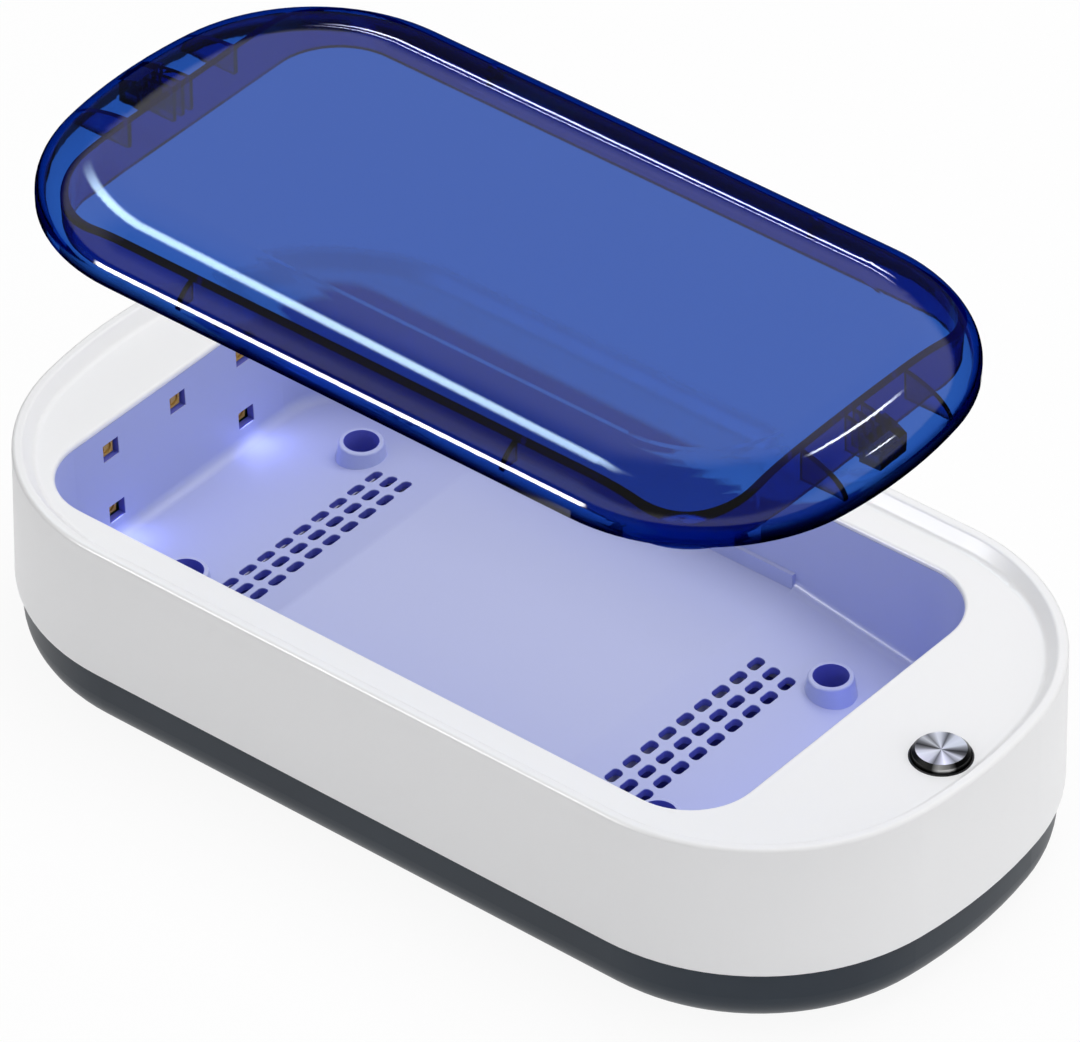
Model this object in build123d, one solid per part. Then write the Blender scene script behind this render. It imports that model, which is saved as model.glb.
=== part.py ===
from build123d import *
from math import atan2, cos, pi, radians, sin, sqrt, tan
import os

# UV sanitizer box for phones. Millimetres, +Z up, origin on the table under the middle of the base.
# +X points to the button end and +Y to the socket side. The lid is modelled lifted off the base.

# ---- base body: plan and heights ---------------------------------------------------------------
body_length = 231.0         # at the seam, the widest level
body_width = 118.8
body_corner = 48.0          # plan radius between a long side and an end
body_end = 118.5            # plan radius of the bowed ends
wall_lean = 0.3             # the housing wall leans in by this much from the seam to the rim
foot_height = 1.2           # rubber showing below the cover
cover_height = 14.6
housing_height = 32.2

# ---- upper housing -----------------------------------------------------------------------------
housing_wall = 2.6
lower_lip_round = 1.0
rim_width = 2.2
rim_slope = 2.3             # plan width of the sloping inner side of the rim
rim_round = 0.9
recess_depth = 3.3          # rim top to deck
recess_cove = 1.6
deck_thickness = 3.0
rib_thickness = 1.2
rib_height = 9.0
rib_count = 4               # along each long wall
rib_pitch = 38.0

# ---- chamber mouth and tray --------------------------------------------------------------------
well_left_margin = 20.3     # end of the body to the mouth
well_right_margin = 34.7    # the same at the button end
well_side_margin = 12.15
well_corner = 15.0
lip_thickness = 1.2         # of the deck round the mouth
lip_round = 0.8
lip_gap = 0.1               # under the lip, to the top of the tray
tray_draft = 3.0            # degrees
tray_wall = 1.8
tray_side_gap = 0.3         # tray to the housing round it
tray_flange = 3.0
platform_depth = 22.1       # below the deck
ramp_length = 49.8          # end wall of the well to the platform
ramp_angle = 8.75           # degrees, falling from the platform to each end wall
crease_round = 8.0
tray_cove = 2.4
ledge_height = 3.7          # low step along both long sides of the platform
ledge_reach = 0.7
slot_columns = 3
slot_rows = 9
slot_offset = 12.2          # crease to the middle column
slot_pitch_x = 3.93
slot_pitch_y = 5.75
slot_width = 2.5
slot_length = 4.3
slot_corner = 1.1
boss_inset_x = 26.2         # end wall of the well to the boss axis
boss_inset_y = 19.25
boss_hole = 7.5             # diameter
boss_wall = 1.0
boss_round = 0.5
boss_flare = 9.0           # degrees from the vertical
boss_rise = 0.3             # above the platform

# ---- LED windows, boards and chips -------------------------------------------------------------
window_width = 4.8
window_height = 4.2
upper_row_depth = 7.5       # below the deck
upper_row_pitch = 21.0
lower_row_depth = 23.1
lower_row_offset = 20.5
led_board_gap = 0.6         # tray wall to board
led_board_edge = 3.4        # board beyond its lower chips
led_board_lip = 0.65        # board beyond its upper chips, under the deck
led_board_ear = 4.5         # board beyond its screws
led_screw_inset = 14.25     # side wall of the well to the board's screws
board_thickness = 1.6
led_size = 3.5
led_height = 1.6
led_cup = 2.6               # diameter of the sunken round cup in a package
led_cup_depth = 0.5
led_die = 1.4
led_die_height = 0.25
plug_size = (6.0, 7.0, 3.4)  # wire connector: along the wire, across it, off the board

# ---- lower cover -------------------------------------------------------------------------------
cover_inset = 1.5           # step in from the housing at the seam
cover_wall = 2.2
cover_round = 8.0
tongue_height = 2.5
tongue_wall = 1.2
seam_clearance = 0.2
foot_diameter = 10.0
foot_seat = 0.8
foot_chamfer = 0.5
foot_inset_x = 41.5
foot_inset_y = 28.4

# ---- screws ------------------------------------------------------------------------------------
case_screw = (3.0, 5.6, 2.2, 12.0)      # thread, head, head height, length under the head
tray_screw = (3.0, 5.6, 2.2, 9.0)
board_screw = (2.0, 3.6, 1.3, 3.6)
screw_chamfer = 0.5                     # round the head
thread_clearance = 0.1                  # on the diameter, thread in its pilot hole
screw_clearance = 0.4                   # on the diameter, thread in a through hole
head_clearance = 0.6                    # on the diameter, head in its counterbore
case_post = 6.4
left_post = (7.8, 33.4)                 # in from the end wall, in from the long side
right_post = (11.7, 25.4)
case_post_rise = 5.6                    # cover floor to the level where the posts meet
case_head_sink = 4.0
tray_post_rise = 7.6
tray_seat = 2.0                         # web under the tray screw's head

# ---- main board and socket ---------------------------------------------------------------------
main_board_post_gap = 13.8              # board's end to the axis of the tray's posts
main_board_width = 57.0
main_board_gap = 2.7                    # board edge to the cover's rear wall
main_board_rise = 2.6
main_board_corner = 2.0
main_screw_inset = 4.0
standoff = 5.0
controller = (7.0, 7.0, 0.9)
controller_at = (-8.0, 2.0)             # from the middle of the board
regulator = (5.0, 5.0, 0.9)
regulator_at = (6.0, 6.0)
inductor = (7.3, 7.3, 4.0)
inductor_x = 23.0
inductor_y = 4.0
crystal = (8.0, 5.0, 1.8)
crystal_at = (14.0, -14.0)
capacitor = (3.2, 1.6, 1.4)
capacitor_count = 5
capacitor_pitch = 6.0
capacitor_y = 14.0
plug_edge = 0.5                         # board's end to a wire connector
socket_width = 8.94
socket_height = 3.26
socket_depth = 7.3
socket_shell = 0.3
socket_recess = 0.5                     # mouth of the socket behind the cover's outer face
socket_port_gap = 0.3
socket_tongue = 0.7
socket_tongue_width = 6.7

# ---- charging coil -----------------------------------------------------------------------------
coil_outer = 46.0
coil_inner = 20.0
coil_turns = 6
coil_groove = 0.3
coil_crest = (0.2, 0.8)                 # where a turn's flat top starts and ends, in turns
coil_thickness = 1.2
coil_gap = 0.1                          # under the platform
shield_size = 50.0
shield_thickness = 0.8
carrier_margin = 3.0
carrier_thickness = 1.6
carrier_ear = 7.0

# ---- fragrance cups ----------------------------------------------------------------------------
cup_width = 12.4
cup_margin = 2.2                        # cup beyond the last slot, along Y
cup_depth = 6.8
cup_wall = 1.0
cup_shift = 0.3                         # towards the platform, clear of the bosses
pad_thickness = 3.6
pad_clearance = 0.2
pad_corner = 1.0

# ---- button ------------------------------------------------------------------------------------
button_inset = 12.2                     # end of the body to the button axis
button_diameter = 11.8
button_rise = 1.9
button_travel = 0.8
button_gap = 0.15                        # cap to bezel, on the radius
button_dish = 0.25
button_chamfer = 0.7
bezel_wall = 0.5
bezel_depth = 4.5
bezel_rise = 0.25
bezel_chamfer = 0.2
cap_flange_reach = 0.35                 # flange beyond the bezel's bore
cap_flange_thickness = 0.9
cap_stop_gap = 0.1
cap_stem = 4.0
guide_wall = 1.2
switch_board_drop = 16.7                # deck to the underside of the switch board
switch_board_length = 32.0
switch_board_width = 14.0
switch_board_corner = 1.5
switch_post_y = 12.5
tact_size = 6.0
tact_height = 3.5
tact_plunger = 3.4
tact_plunger_rise = 0.9
tact_slack = 0.1
spring_mean = 10.4
spring_wire = 0.7
spring_turns = 4

# ---- lid ---------------------------------------------------------------------------------------
lid_lift = 65.0
lid_seat_gap = 0.2
lid_side_gap = 2.4                      # lid to the recess floor's edge, along both sides
lid_end_gap = 2.0                       # the same at the left end
lid_button_gap = 3.45                    # lid to bezel
lid_wall = 1.9
lid_edge = 1.9                          # upright edge below the shoulder
shoulder_width = 18.0
shoulder_height = 8.5
skirt_left_gap = 3.0                    # skirt to the mouth's left end
skirt_right_gap = 1.0
skirt_side_gap = 0.75
skirt_corner = 17.0
skirt_wall = 1.6
skirt_drop = 2.5
gusset_wall = 1.2
gusset_x = 41.2
gusset_y = 16.4
pocket_inset = 6.6                      # end of the lid to the middle of the pocket
pocket_length = 5.2
pocket_width = 8.2
pocket_wall = 1.0
pocket_rise = 0.6                       # pocket mouth above the lid's lower edge
pocket_rib_pitch = 2.6
magnet_height = 2.5
magnet_clearance = 0.1

# ---- lid sensors -------------------------------------------------------------------------------
sensor_board_length = 13.0
sensor_board_width = 5.0
sensor_board_thickness = 1.2
sensor_size = 3.0
sensor_height = 1.0
sensor_pin = 1.4
sensor_pin_y = 4.6

# ---- wires -------------------------------------------------------------------------------------
wire_diameter = 1.1
wire_pitch = 2.0
wire_bend = 4.0
wire_facets = 8                         # sides of a wire's section
left_lead_y = -12.0                     # wire connectors, from the middle of the main board
right_lead_y = -6.0
button_lead_y = -14.5
coil_lead_inset = 4.0                   # front edge of the main board to the coil's wires
button_lead_x = -3.0                    # where the button's wires rise, from the button axis

# ---- allowances of the model itself ------------------------------------------------------------
sink = 0.5                              # how far a fused piece is set into its neighbour
past = 1.0                              # how far a cutter runs past a face

# ---- levels and sizes worked out from the above ------------------------------------------------
cover_z = foot_height
cover_floor_z = cover_z + cover_wall
seam_z = cover_z + cover_height
rim_z = seam_z + housing_height
deck_z = rim_z - recess_depth
deck_under_z = deck_z - deck_thickness
lip_under_z = deck_z - lip_thickness
tray_top_z = lip_under_z - lip_gap
recess_inset = wall_lean + rim_width + rim_slope
platform_z = deck_z - platform_depth
well_length = body_length - well_left_margin - well_right_margin
well_width = body_width - 2 * well_side_margin
well_x = (well_left_margin - well_right_margin) / 2
platform_half = well_length / 2 - ramp_length
platform_under_z = platform_z - tray_wall
draft_slope = tan(radians(tray_draft))
ramp_slope = tan(radians(ramp_angle))
ledge_y = well_width / 2 - platform_depth * draft_slope - ledge_reach
slot_x = platform_half + slot_offset
boss_x = well_length / 2 - boss_inset_x
boss_y = well_width / 2 - boss_inset_y
boss_post = boss_hole + 2 * boss_wall
led_board_x = well_length / 2 + tray_wall + led_board_gap
led_board_back = led_board_x + board_thickness
led_screw_y = well_width / 2 - led_screw_inset
led_board_top = deck_z - upper_row_depth + led_size / 2 + led_board_lip
led_board_low = deck_z - lower_row_depth - led_size / 2 - led_board_edge
led_screw_z = (led_board_top + led_board_low) / 2
case_joint_z = cover_floor_z + case_post_rise
case_head_z = cover_z + case_head_sink
tray_joint_z = cover_floor_z + tray_post_rise
main_board_x = well_x
main_board_length = 2 * (boss_x - main_board_post_gap)
main_board_z = cover_floor_z + main_board_rise
main_board_top = main_board_z + board_thickness
main_board_y = body_width / 2 - cover_inset - cover_wall - main_board_gap - main_board_width / 2
coil_top = platform_under_z - coil_gap
coil_under = coil_top - coil_thickness
carrier_top = coil_under - shield_thickness
carrier_size = shield_size + 2 * carrier_margin
carrier_screw = shield_size / 2 + carrier_margin / 2
button_x = body_length / 2 - button_inset
bezel_bore = button_diameter + 2 * button_gap
bezel_outer = bezel_bore + 2 * bezel_wall
bezel_under_z = deck_z - bezel_depth
cap_flange = bezel_bore + 2 * cap_flange_reach
cap_flange_top = bezel_under_z - cap_stop_gap
cap_flange_low = cap_flange_top - cap_flange_thickness
switch_board_z = deck_z - switch_board_drop
switch_board_top = switch_board_z + board_thickness
tact_top = switch_board_top + tact_height + tact_plunger_rise
lid_z = deck_z + lid_seat_gap + lid_lift
lid_inset = recess_inset + lid_side_gap
lid_left = -body_length / 2 + recess_inset + lid_end_gap
lid_right = button_x - bezel_outer / 2 - lid_button_gap
lid_x = (lid_left + lid_right) / 2
lid_length = lid_right - lid_left
lid_width = body_width - 2 * lid_inset
lid_corner = body_corner - lid_inset
lid_end = body_end - lid_inset
lid_height = lid_edge + shoulder_height
skirt_x = well_x + (skirt_left_gap - skirt_right_gap) / 2
skirt_length = well_length - skirt_left_gap - skirt_right_gap
skirt_width = well_width - 2 * skirt_side_gap
pocket_x = lid_length / 2 - pocket_inset
LEFT, RIGHT = -1, 1
SIDES = (LEFT, RIGHT)
CORNERS = [(sx, sy) for sx in SIDES for sy in SIDES]


# ---- shared helpers ----------------------------------------------------------------------------
def corner_centre(length, width, corner, end):
    """Centre of the round corner that joins a straight side to a bowed end."""
    y = width / 2 - corner
    return (length / 2 - end + sqrt((end - corner) ** 2 - y ** 2), y)


def bowed_plan(length, width, corner, end, z, x=0.0):
    """Face with straight long sides and bowed ends, joined by round corners, all tangent."""
    half_length = length / 2
    corner_x, corner_y = corner_centre(length, width, corner, end)
    lean = atan2(corner_y, corner_x - half_length + end)

    def corner_point(angle, sx, sy):
        return (sx * (corner_x + corner * cos(angle)), sy * (corner_y + corner * sin(angle)))

    def corner_arc(sx, sy):
        angles = (pi / 2, (pi / 2 + lean) / 2, lean)
        return ThreePointArc(*(corner_point(angle, sx, sy) for angle in angles))

    def end_arc(sx):
        return ThreePointArc(corner_point(lean, sx, 1), (sx * half_length, 0), corner_point(lean, sx, -1))

    def side(sy):
        return Line(corner_point(pi / 2, -1, sy), corner_point(pi / 2, 1, sy))

    edges = [side(1), corner_arc(1, 1), end_arc(1), corner_arc(1, -1)]
    edges += [side(-1), corner_arc(-1, -1), end_arc(-1), corner_arc(-1, 1)]
    return Pos(x, 0, z) * make_face(edges)


def body_plan(inset, z):
    length, width = body_length - 2 * inset, body_width - 2 * inset
    return bowed_plan(length, width, body_corner - inset, body_end - inset, z)


def lid_plan(inset, z):
    length, width = lid_length - 2 * inset, lid_width - 2 * inset
    return bowed_plan(length, width, lid_corner - inset, lid_end - inset, z, lid_x)


def well_plan(inset, z):
    outline = RectangleRounded(well_length - 2 * inset, well_width - 2 * inset, well_corner - inset)
    return Pos(well_x, 0, z) * outline


def prism(face, height):
    return extrude(face, amount=height, dir=(0, 0, 1))


def plate(x, y, z, length, width, thickness, corner):
    return Pos(x, y, z) * extrude(RectangleRounded(length, width, corner), amount=thickness)


def frustum(lower, upper):
    return loft([lower, upper], ruled=True)


def block(x_ends, y_ends, z_ends):
    """Box between two limits along each axis, given in either order."""
    spans = [sorted(ends) for ends in (x_ends, y_ends, z_ends)]
    middle = [(low + high) / 2 for low, high in spans]
    return Pos(*middle) * Box(*(high - low for low, high in spans))


def around(middle, size):
    return (middle - size / 2, middle + size / 2)


def centred(x, y, length, width, z_ends):
    return block(around(x, length), around(y, width), z_ends)


def rod(x, y, z_low, z_high, diameter):
    return Pos(x, y, (z_low + z_high) / 2) * Cylinder(diameter / 2, z_high - z_low)


def rod_x(x_ends, y, z, diameter):
    low, high = sorted(x_ends)
    return Pos((low + high) / 2, y, z) * Rot(0, 90, 0) * Cylinder(diameter / 2, high - low)


def ring(x, points):
    """Turned piece about a vertical axis at x, from its half section as (radius, z)."""
    return Pos(x, 0, 0) * revolve(Plane.XZ * make_face(Polyline(*points, close=True)), Axis.Z)


def at_level(part, z):
    """Edges that lie flat at one level."""
    def is_flat(edge):
        box = edge.bounding_box()
        return abs(box.min.Z - z) < 0.01 and abs(box.max.Z - z) < 0.01
    return part.edges().filter_by(is_flat)


def around_well(edges):
    """The edges that lie within the chamber mouth's outline."""
    def is_inside(edge):
        box = edge.bounding_box()
        reach = max(abs(box.min.X - well_x), abs(box.max.X - well_x))
        return reach < well_length / 2 + 0.1 and max(-box.min.Y, box.max.Y) < well_width / 2 + 0.1
    return edges.filter_by(is_inside)


def screw(size, head, head_height, length):
    """Pan-head screw that points up, its head bearing at the origin."""
    shank = Pos(0, 0, length / 2) * Cylinder(size / 2, length)
    cap = Pos(0, 0, -head_height / 2) * Cylinder(head / 2, head_height)
    cap = chamfer(cap.edges().filter_by(GeomType.CIRCLE).sort_by(Axis.Z)[0], screw_chamfer)
    return shank + cap


def wire_pair(points):
    """Two insulated wires side by side along a route, spaced along Y."""
    route = FilletPolyline(*points, radius=wire_bend)
    start = Plane(origin=route @ 0, z_dir=route % 0)
    tube = sweep(start * RegularPolygon(wire_diameter / 2, wire_facets), path=route)
    return [Pos(0, side * wire_pitch / 2, 0) * tube for side in SIDES]


def ramp_z(from_well):
    """Level of the chamber floor at a distance along X from the middle of the well."""
    return platform_z - max(abs(from_well) - platform_half, 0) * ramp_slope


def well_floor(drop):
    """Everything below the chamber floor, lowered by drop: platform in the middle, a ramp to each end."""
    reach = body_length / 2
    corners = [(-reach, 0), (-reach, ramp_z(reach) - drop), (-platform_half, platform_z - drop)]
    corners += [(-x, z) for x, z in reversed(corners)]
    profile = make_face(Polyline(*corners, close=True))
    creases = profile.vertices().filter_by(lambda vertex: abs(vertex.Y - platform_z + drop) < 0.01)
    profile = fillet(creases, crease_round)
    return Pos(well_x, 0, 0) * extrude(Plane.XZ * profile, amount=body_width / 2, both=True)


# ---- upper housing -----------------------------------------------------------------------------
def housing_shell():
    wall = frustum(body_plan(0, seam_z), body_plan(wall_lean, rim_z))
    wall = fillet(at_level(wall, seam_z), lower_lip_round)
    wall -= frustum(body_plan(housing_wall, seam_z), body_plan(housing_wall + wall_lean, deck_under_z))
    recess = frustum(body_plan(recess_inset, deck_z), body_plan(wall_lean + rim_width, rim_z))
    recess = fillet(at_level(recess, deck_z), recess_cove)
    shell = wall - recess
    shell = fillet(at_level(shell, rim_z), rim_round)
    shell -= prism(well_plan(0, deck_under_z - past), deck_thickness + 2 * past)
    rebate = well_plan(-tray_wall - tray_side_gap, deck_under_z - past)
    shell -= prism(rebate, lip_under_z - deck_under_z + past)
    return fillet(around_well(at_level(shell, deck_z)), lip_round)


def case_screw_places():
    corner_x, corner_y = corner_centre(body_length, body_width, body_corner, body_end)
    places = []
    for end, (from_wall, from_side) in ((LEFT, left_post), (RIGHT, right_post)):
        y = body_width / 2 - from_side
        x = corner_x + sqrt((body_corner - from_wall) ** 2 - (y - corner_y) ** 2)
        places += [(end * x, side * y) for side in SIDES]
    return places


def switch_screw_places():
    return [(button_x, side * switch_post_y) for side in SIDES]


def sensor_x(side):
    return lid_x + side * pocket_x


def housing_posts():
    posts = [rod(x, y, case_joint_z, deck_under_z + sink, case_post) for x, y in case_screw_places()]
    posts += [rod(x, y, switch_board_top, deck_under_z + sink, standoff) for x, y in switch_screw_places()]
    guide_outer = bezel_outer + 2 * guide_wall
    posts.append(rod(button_x, 0, cap_flange_low - button_travel, deck_under_z + sink, guide_outer))
    for side, pin_side in CORNERS:
        pin_low = deck_under_z - sensor_board_thickness
        posts.append(rod(sensor_x(side), pin_side * sensor_pin_y, pin_low, deck_under_z + sink, sensor_pin))
    return posts


def housing_ribs():
    """Short stiffening ribs between the deck and the long walls."""
    inner_y = well_width / 2 + tray_flange + tray_wall
    outer_y = body_width / 2 - housing_wall
    ribs = []
    for side in SIDES:
        for k in range(rib_count):
            x = well_x + (k - (rib_count - 1) / 2) * rib_pitch
            ribs.append(block(around(x, rib_thickness), (side * inner_y, side * outer_y),
                              (deck_under_z - rib_height, deck_under_z + sink)))
    return ribs


def housing_holes():
    thread = case_screw[0] + thread_clearance
    reach = case_screw[3] + case_head_z + past
    holes = [rod(x, y, case_joint_z - past, reach, thread) for x, y in case_screw_places()]
    thread = board_screw[0] + thread_clearance
    reach = switch_board_z + board_screw[3] + past
    holes += [rod(x, y, switch_board_top - past, reach, thread) for x, y in switch_screw_places()]
    holes.append(rod(button_x, 0, switch_board_top, deck_z + past, bezel_outer))
    return holes


def upper_housing():
    return housing_shell() + housing_posts() + housing_ribs() - housing_holes()


# ---- UV tray -----------------------------------------------------------------------------------
def well_taper(grow):
    """The drafted tub of the chamber, grown outwards by grow, before its floor is cut."""
    low = ramp_z(well_length / 2) - 2 * tray_wall
    inset = (tray_top_z - low) * draft_slope
    return frustum(well_plan(inset - grow, low), well_plan(-grow, tray_top_z))


def chamber_void():
    void = well_taper(0) - well_floor(0)

    def meets_wall(edge):
        middle = edge @ 0.5
        return middle.Z < platform_z + 0.1 and not is_crease(middle)

    def is_crease(point):
        return abs(point.Y) < 1 and abs(abs(point.X - well_x) - platform_half) < crease_round
    return fillet(void.edges().filter_by(meets_wall), tray_cove)


def platform_clearing():
    """Squares the cove off where the platform meets the long walls."""
    return centred(well_x, 0, 2 * platform_half, 2 * ledge_y, (platform_z, platform_z + ledge_height))


def platform_ledges():
    reach = ledge_y + ledge_reach + tray_wall / 2
    return [block((well_x - platform_half, well_x + platform_half), (side * ledge_y, side * reach),
                  (platform_z - sink, platform_z + ledge_height)) for side in SIDES]


def boss_places():
    return [(well_x + sx * boss_x, sy * boss_y) for sx, sy in CORNERS]


def tray_bosses():
    """Cones that rise from the ramps to just above the platform."""
    top = platform_z + boss_rise
    low = ramp_z(boss_x) - tray_wall
    top_radius = boss_post / 2
    low_radius = top_radius + (top - low) * tan(radians(boss_flare))
    cone = Cone(low_radius, top_radius, top - low)
    cone = fillet(cone.edges().filter_by(GeomType.CIRCLE).sort_by(Axis.Z)[-1], boss_round)
    return [Pos(x, y, (top + low) / 2) * cone for x, y in boss_places()]


def tray_slots():
    cell = extrude(RectangleRounded(slot_width, slot_length, slot_corner), amount=platform_z)
    slots = []
    for side in SIDES:
        for column in range(slot_columns):
            for row in range(slot_rows):
                x = well_x + side * slot_x + (column - (slot_columns - 1) / 2) * slot_pitch_x
                y = (row - (slot_rows - 1) / 2) * slot_pitch_y
                slots.append(Pos(x, y, 0) * cell)
    return slots


def led_places():
    """Middle of each LED window as (y, z)."""
    upper = [(k * upper_row_pitch, deck_z - upper_row_depth) for k in (-1, 0, 1)]
    lower = [(k * lower_row_offset, deck_z - lower_row_depth) for k in SIDES]
    return upper + lower


def led_screw_places():
    return [(k * led_screw_y, led_screw_z) for k in SIDES]


def carrier_screw_places():
    return [(well_x + sx * carrier_screw, sy * carrier_screw) for sx, sy in CORNERS]


def tray_posts():
    """Posts under the bosses, studs behind the end walls and studs for the coil carrier."""
    posts = [rod(x, y, tray_joint_z, ramp_z(boss_x) - sink, boss_post) for x, y in boss_places()]
    for side in SIDES:
        ends = (well_x + side * (well_length / 2 - sink), well_x + side * led_board_x)
        posts += [rod_x(ends, y, z, standoff) for y, z in led_screw_places()]
    posts += [rod(x, y, carrier_top, platform_under_z + sink, standoff) for x, y in carrier_screw_places()]
    return posts


def tray_holes():
    seat = tray_joint_z + tray_seat
    holes = [rod(x, y, seat, platform_z + boss_rise + past, boss_hole) for x, y in boss_places()]
    through = tray_screw[0] + screw_clearance
    holes += [rod(x, y, tray_joint_z - past, seat + past, through) for x, y in boss_places()]
    thread = board_screw[0] + thread_clearance
    depth = board_screw[3] - carrier_thickness + thread_clearance
    holes += [rod(x, y, carrier_top - past, carrier_top + depth, thread) for x, y in carrier_screw_places()]
    for side in SIDES:
        depth = board_screw[3] - board_thickness + thread_clearance
        ends = (well_x + side * (led_board_x - depth), well_x + side * (led_board_x + past))
        holes += [rod_x(ends, y, z, thread) for y, z in led_screw_places()]
        wall_ends = (well_length / 2 - tray_cove, well_length / 2 + tray_wall + sink)
        wall = [well_x + side * reach for reach in wall_ends]
        holes += [block(wall, around(y, window_width), around(z, window_height)) for y, z in led_places()]
    return holes


def uv_tray():
    outer = well_taper(tray_wall) - well_floor(tray_wall)
    flange = prism(well_plan(-tray_flange, deck_under_z - tray_wall), tray_wall)
    tray = outer + flange - chamber_void() - platform_clearing()
    tray += platform_ledges() + [boss & outer for boss in tray_bosses()] + tray_posts()
    return tray - (tray_holes() + tray_slots())


# ---- LED boards and chips ----------------------------------------------------------------------
def uv_board(side):
    faces = (well_x + side * led_board_x, well_x + side * led_board_back)
    half = led_screw_y + led_board_ear
    board = block(faces, (-half, half), (led_board_low, led_board_top))
    cut = (faces[0] - side * past, faces[1] + side * past)
    board -= [rod_x(cut, y, z, board_screw[0] + screw_clearance) for y, z in led_screw_places()]
    plug_y = main_board_y + led_lead_y(side)
    plug = block((faces[1], faces[1] + side * plug_size[2]), around(plug_y, plug_size[1]),
                 around(led_screw_z, plug_size[0]))
    return board + plug


def uv_leds(side):
    """Ceramic packages with a sunken square chip, standing on the board and reaching into the windows."""
    face, back = (well_x + side * (led_board_x - rise) for rise in (led_height, 0))
    floor = face + side * led_cup_depth
    chips = []
    for y, z in led_places():
        body = block((face, back), around(y, led_size), around(z, led_size))
        cup = rod_x((face - side * past, floor), y, z, led_cup)
        die = block((floor - side * led_die_height, back), around(y, led_die), around(z, led_die))
        chips.append(body - cup + die)
    return chips


# ---- lower cover -------------------------------------------------------------------------------
def cover_outer():
    outer = prism(body_plan(cover_inset, cover_z), cover_height)
    return fillet(at_level(outer, cover_z), cover_round)


def cover_inner():
    inner = prism(body_plan(cover_inset + cover_wall, cover_floor_z), cover_height)
    return fillet(at_level(inner, cover_floor_z), cover_round - cover_wall)


def cover_tongue():
    """Locating lip that stands up inside the housing wall."""
    outer_inset = housing_wall + seam_clearance
    height = tongue_height + past
    tongue = prism(body_plan(outer_inset, seam_z - past), height)
    return tongue - prism(body_plan(outer_inset + tongue_wall, seam_z - past), height)


def main_screw_places():
    dx = main_board_length / 2 - main_screw_inset
    dy = main_board_width / 2 - main_screw_inset
    return [(main_board_x + sx * dx, main_board_y + sy * dy) for sx, sy in CORNERS]


def foot_places():
    dx, dy = body_length / 2 - foot_inset_x, body_width / 2 - foot_inset_y
    return [(sx * dx, sy * dy) for sx, sy in CORNERS]


def cover_posts():
    low = cover_floor_z - sink
    posts = [rod(x, y, cover_z, case_joint_z, case_screw[1] + head_clearance + 2 * boss_wall)
             for x, y in case_screw_places()]
    posts += [rod(x, y, low, tray_joint_z, case_post) for x, y in boss_places()]
    posts += [rod(x, y, low, main_board_z, standoff) for x, y in main_screw_places()]
    return posts


def cover_holes():
    holes = []
    for x, y in case_screw_places():
        holes.append(rod(x, y, 0, case_head_z, case_screw[1] + head_clearance))
        holes.append(rod(x, y, 0, case_joint_z + past, case_screw[0] + screw_clearance))
    pilot = tray_screw[0] + thread_clearance
    holes += [rod(x, y, cover_floor_z, tray_joint_z + past, pilot) for x, y in boss_places()]
    pilot = board_screw[0] + thread_clearance
    holes += [rod(x, y, cover_z + sink, main_board_z + past, pilot) for x, y in main_screw_places()]
    holes += [rod(x, y, 0, cover_z + foot_seat, foot_diameter) for x, y in foot_places()]
    return holes


def socket_port():
    width, height = socket_width + 2 * socket_port_gap, socket_height + 2 * socket_port_gap
    outline = SlotOverall(width, height)
    rear_y = body_width / 2 - cover_inset
    port = extrude(Plane.XZ * outline, amount=cover_wall + 2 * past)
    return Pos(main_board_x, rear_y + past, main_board_top + socket_height / 2) * port


def bottom_cover():
    outer = cover_outer()
    posts = [post & outer for post in cover_posts()]
    return outer - cover_inner() + cover_tongue() + posts - (cover_holes() + [socket_port()])


def rubber_feet():
    foot = Cylinder(foot_diameter / 2, foot_height + foot_seat)
    foot = chamfer(foot.edges().filter_by(GeomType.CIRCLE).sort_by(Axis.Z)[0], foot_chamfer)
    return [Pos(x, y, (foot_height + foot_seat) / 2) * foot for x, y in foot_places()]


# ---- main board --------------------------------------------------------------------------------
def main_board():
    board = plate(main_board_x, main_board_y, main_board_z, main_board_length, main_board_width,
                  board_thickness, main_board_corner)
    hole = (main_board_z - past, main_board_top + past, board_screw[0] + screw_clearance)
    return board - [rod(x, y, *hole) for x, y in main_screw_places()]


def on_board(place, size):
    length, width, height = size
    levels = (main_board_top, main_board_top + height)
    return centred(main_board_x + place[0], main_board_y + place[1], length, width, levels)


def led_lead_y(side):
    return left_lead_y if side == LEFT else right_lead_y


def plug_x(side):
    """Middle of a wire connector at one end of the main board, from the board's middle."""
    return side * (main_board_length / 2 - plug_size[0] / 2 - plug_edge)


def board_components():
    middle = (capacitor_count - 1) / 2
    chips = [on_board(controller_at, controller), on_board(regulator_at, regulator)]
    chips.append(on_board(crystal_at, crystal))
    inductors = [on_board((side * inductor_x, inductor_y), inductor) for side in SIDES]
    capacitors = [on_board(((k - middle) * capacitor_pitch, capacitor_y), capacitor)
                  for k in range(capacitor_count)]
    places = [(LEFT, left_lead_y), (RIGHT, right_lead_y), (RIGHT, button_lead_y)]
    plugs = [on_board((plug_x(side), y), plug_size) for side, y in places]
    return chips + inductors + capacitors + plugs


def usb_socket():
    shell = extrude(Plane.XZ * SlotOverall(socket_width, socket_height), amount=socket_depth)
    bore = SlotOverall(socket_width - 2 * socket_shell, socket_height - 2 * socket_shell)
    shell -= extrude(Plane.XZ * bore, amount=socket_depth - past)
    tongue = block(around(0, socket_tongue_width), (-socket_depth, -past), around(0, socket_tongue))
    mouth_y = body_width / 2 - cover_inset - socket_recess
    return Pos(main_board_x, mouth_y, main_board_top + socket_height / 2) * (shell + tongue)


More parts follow.
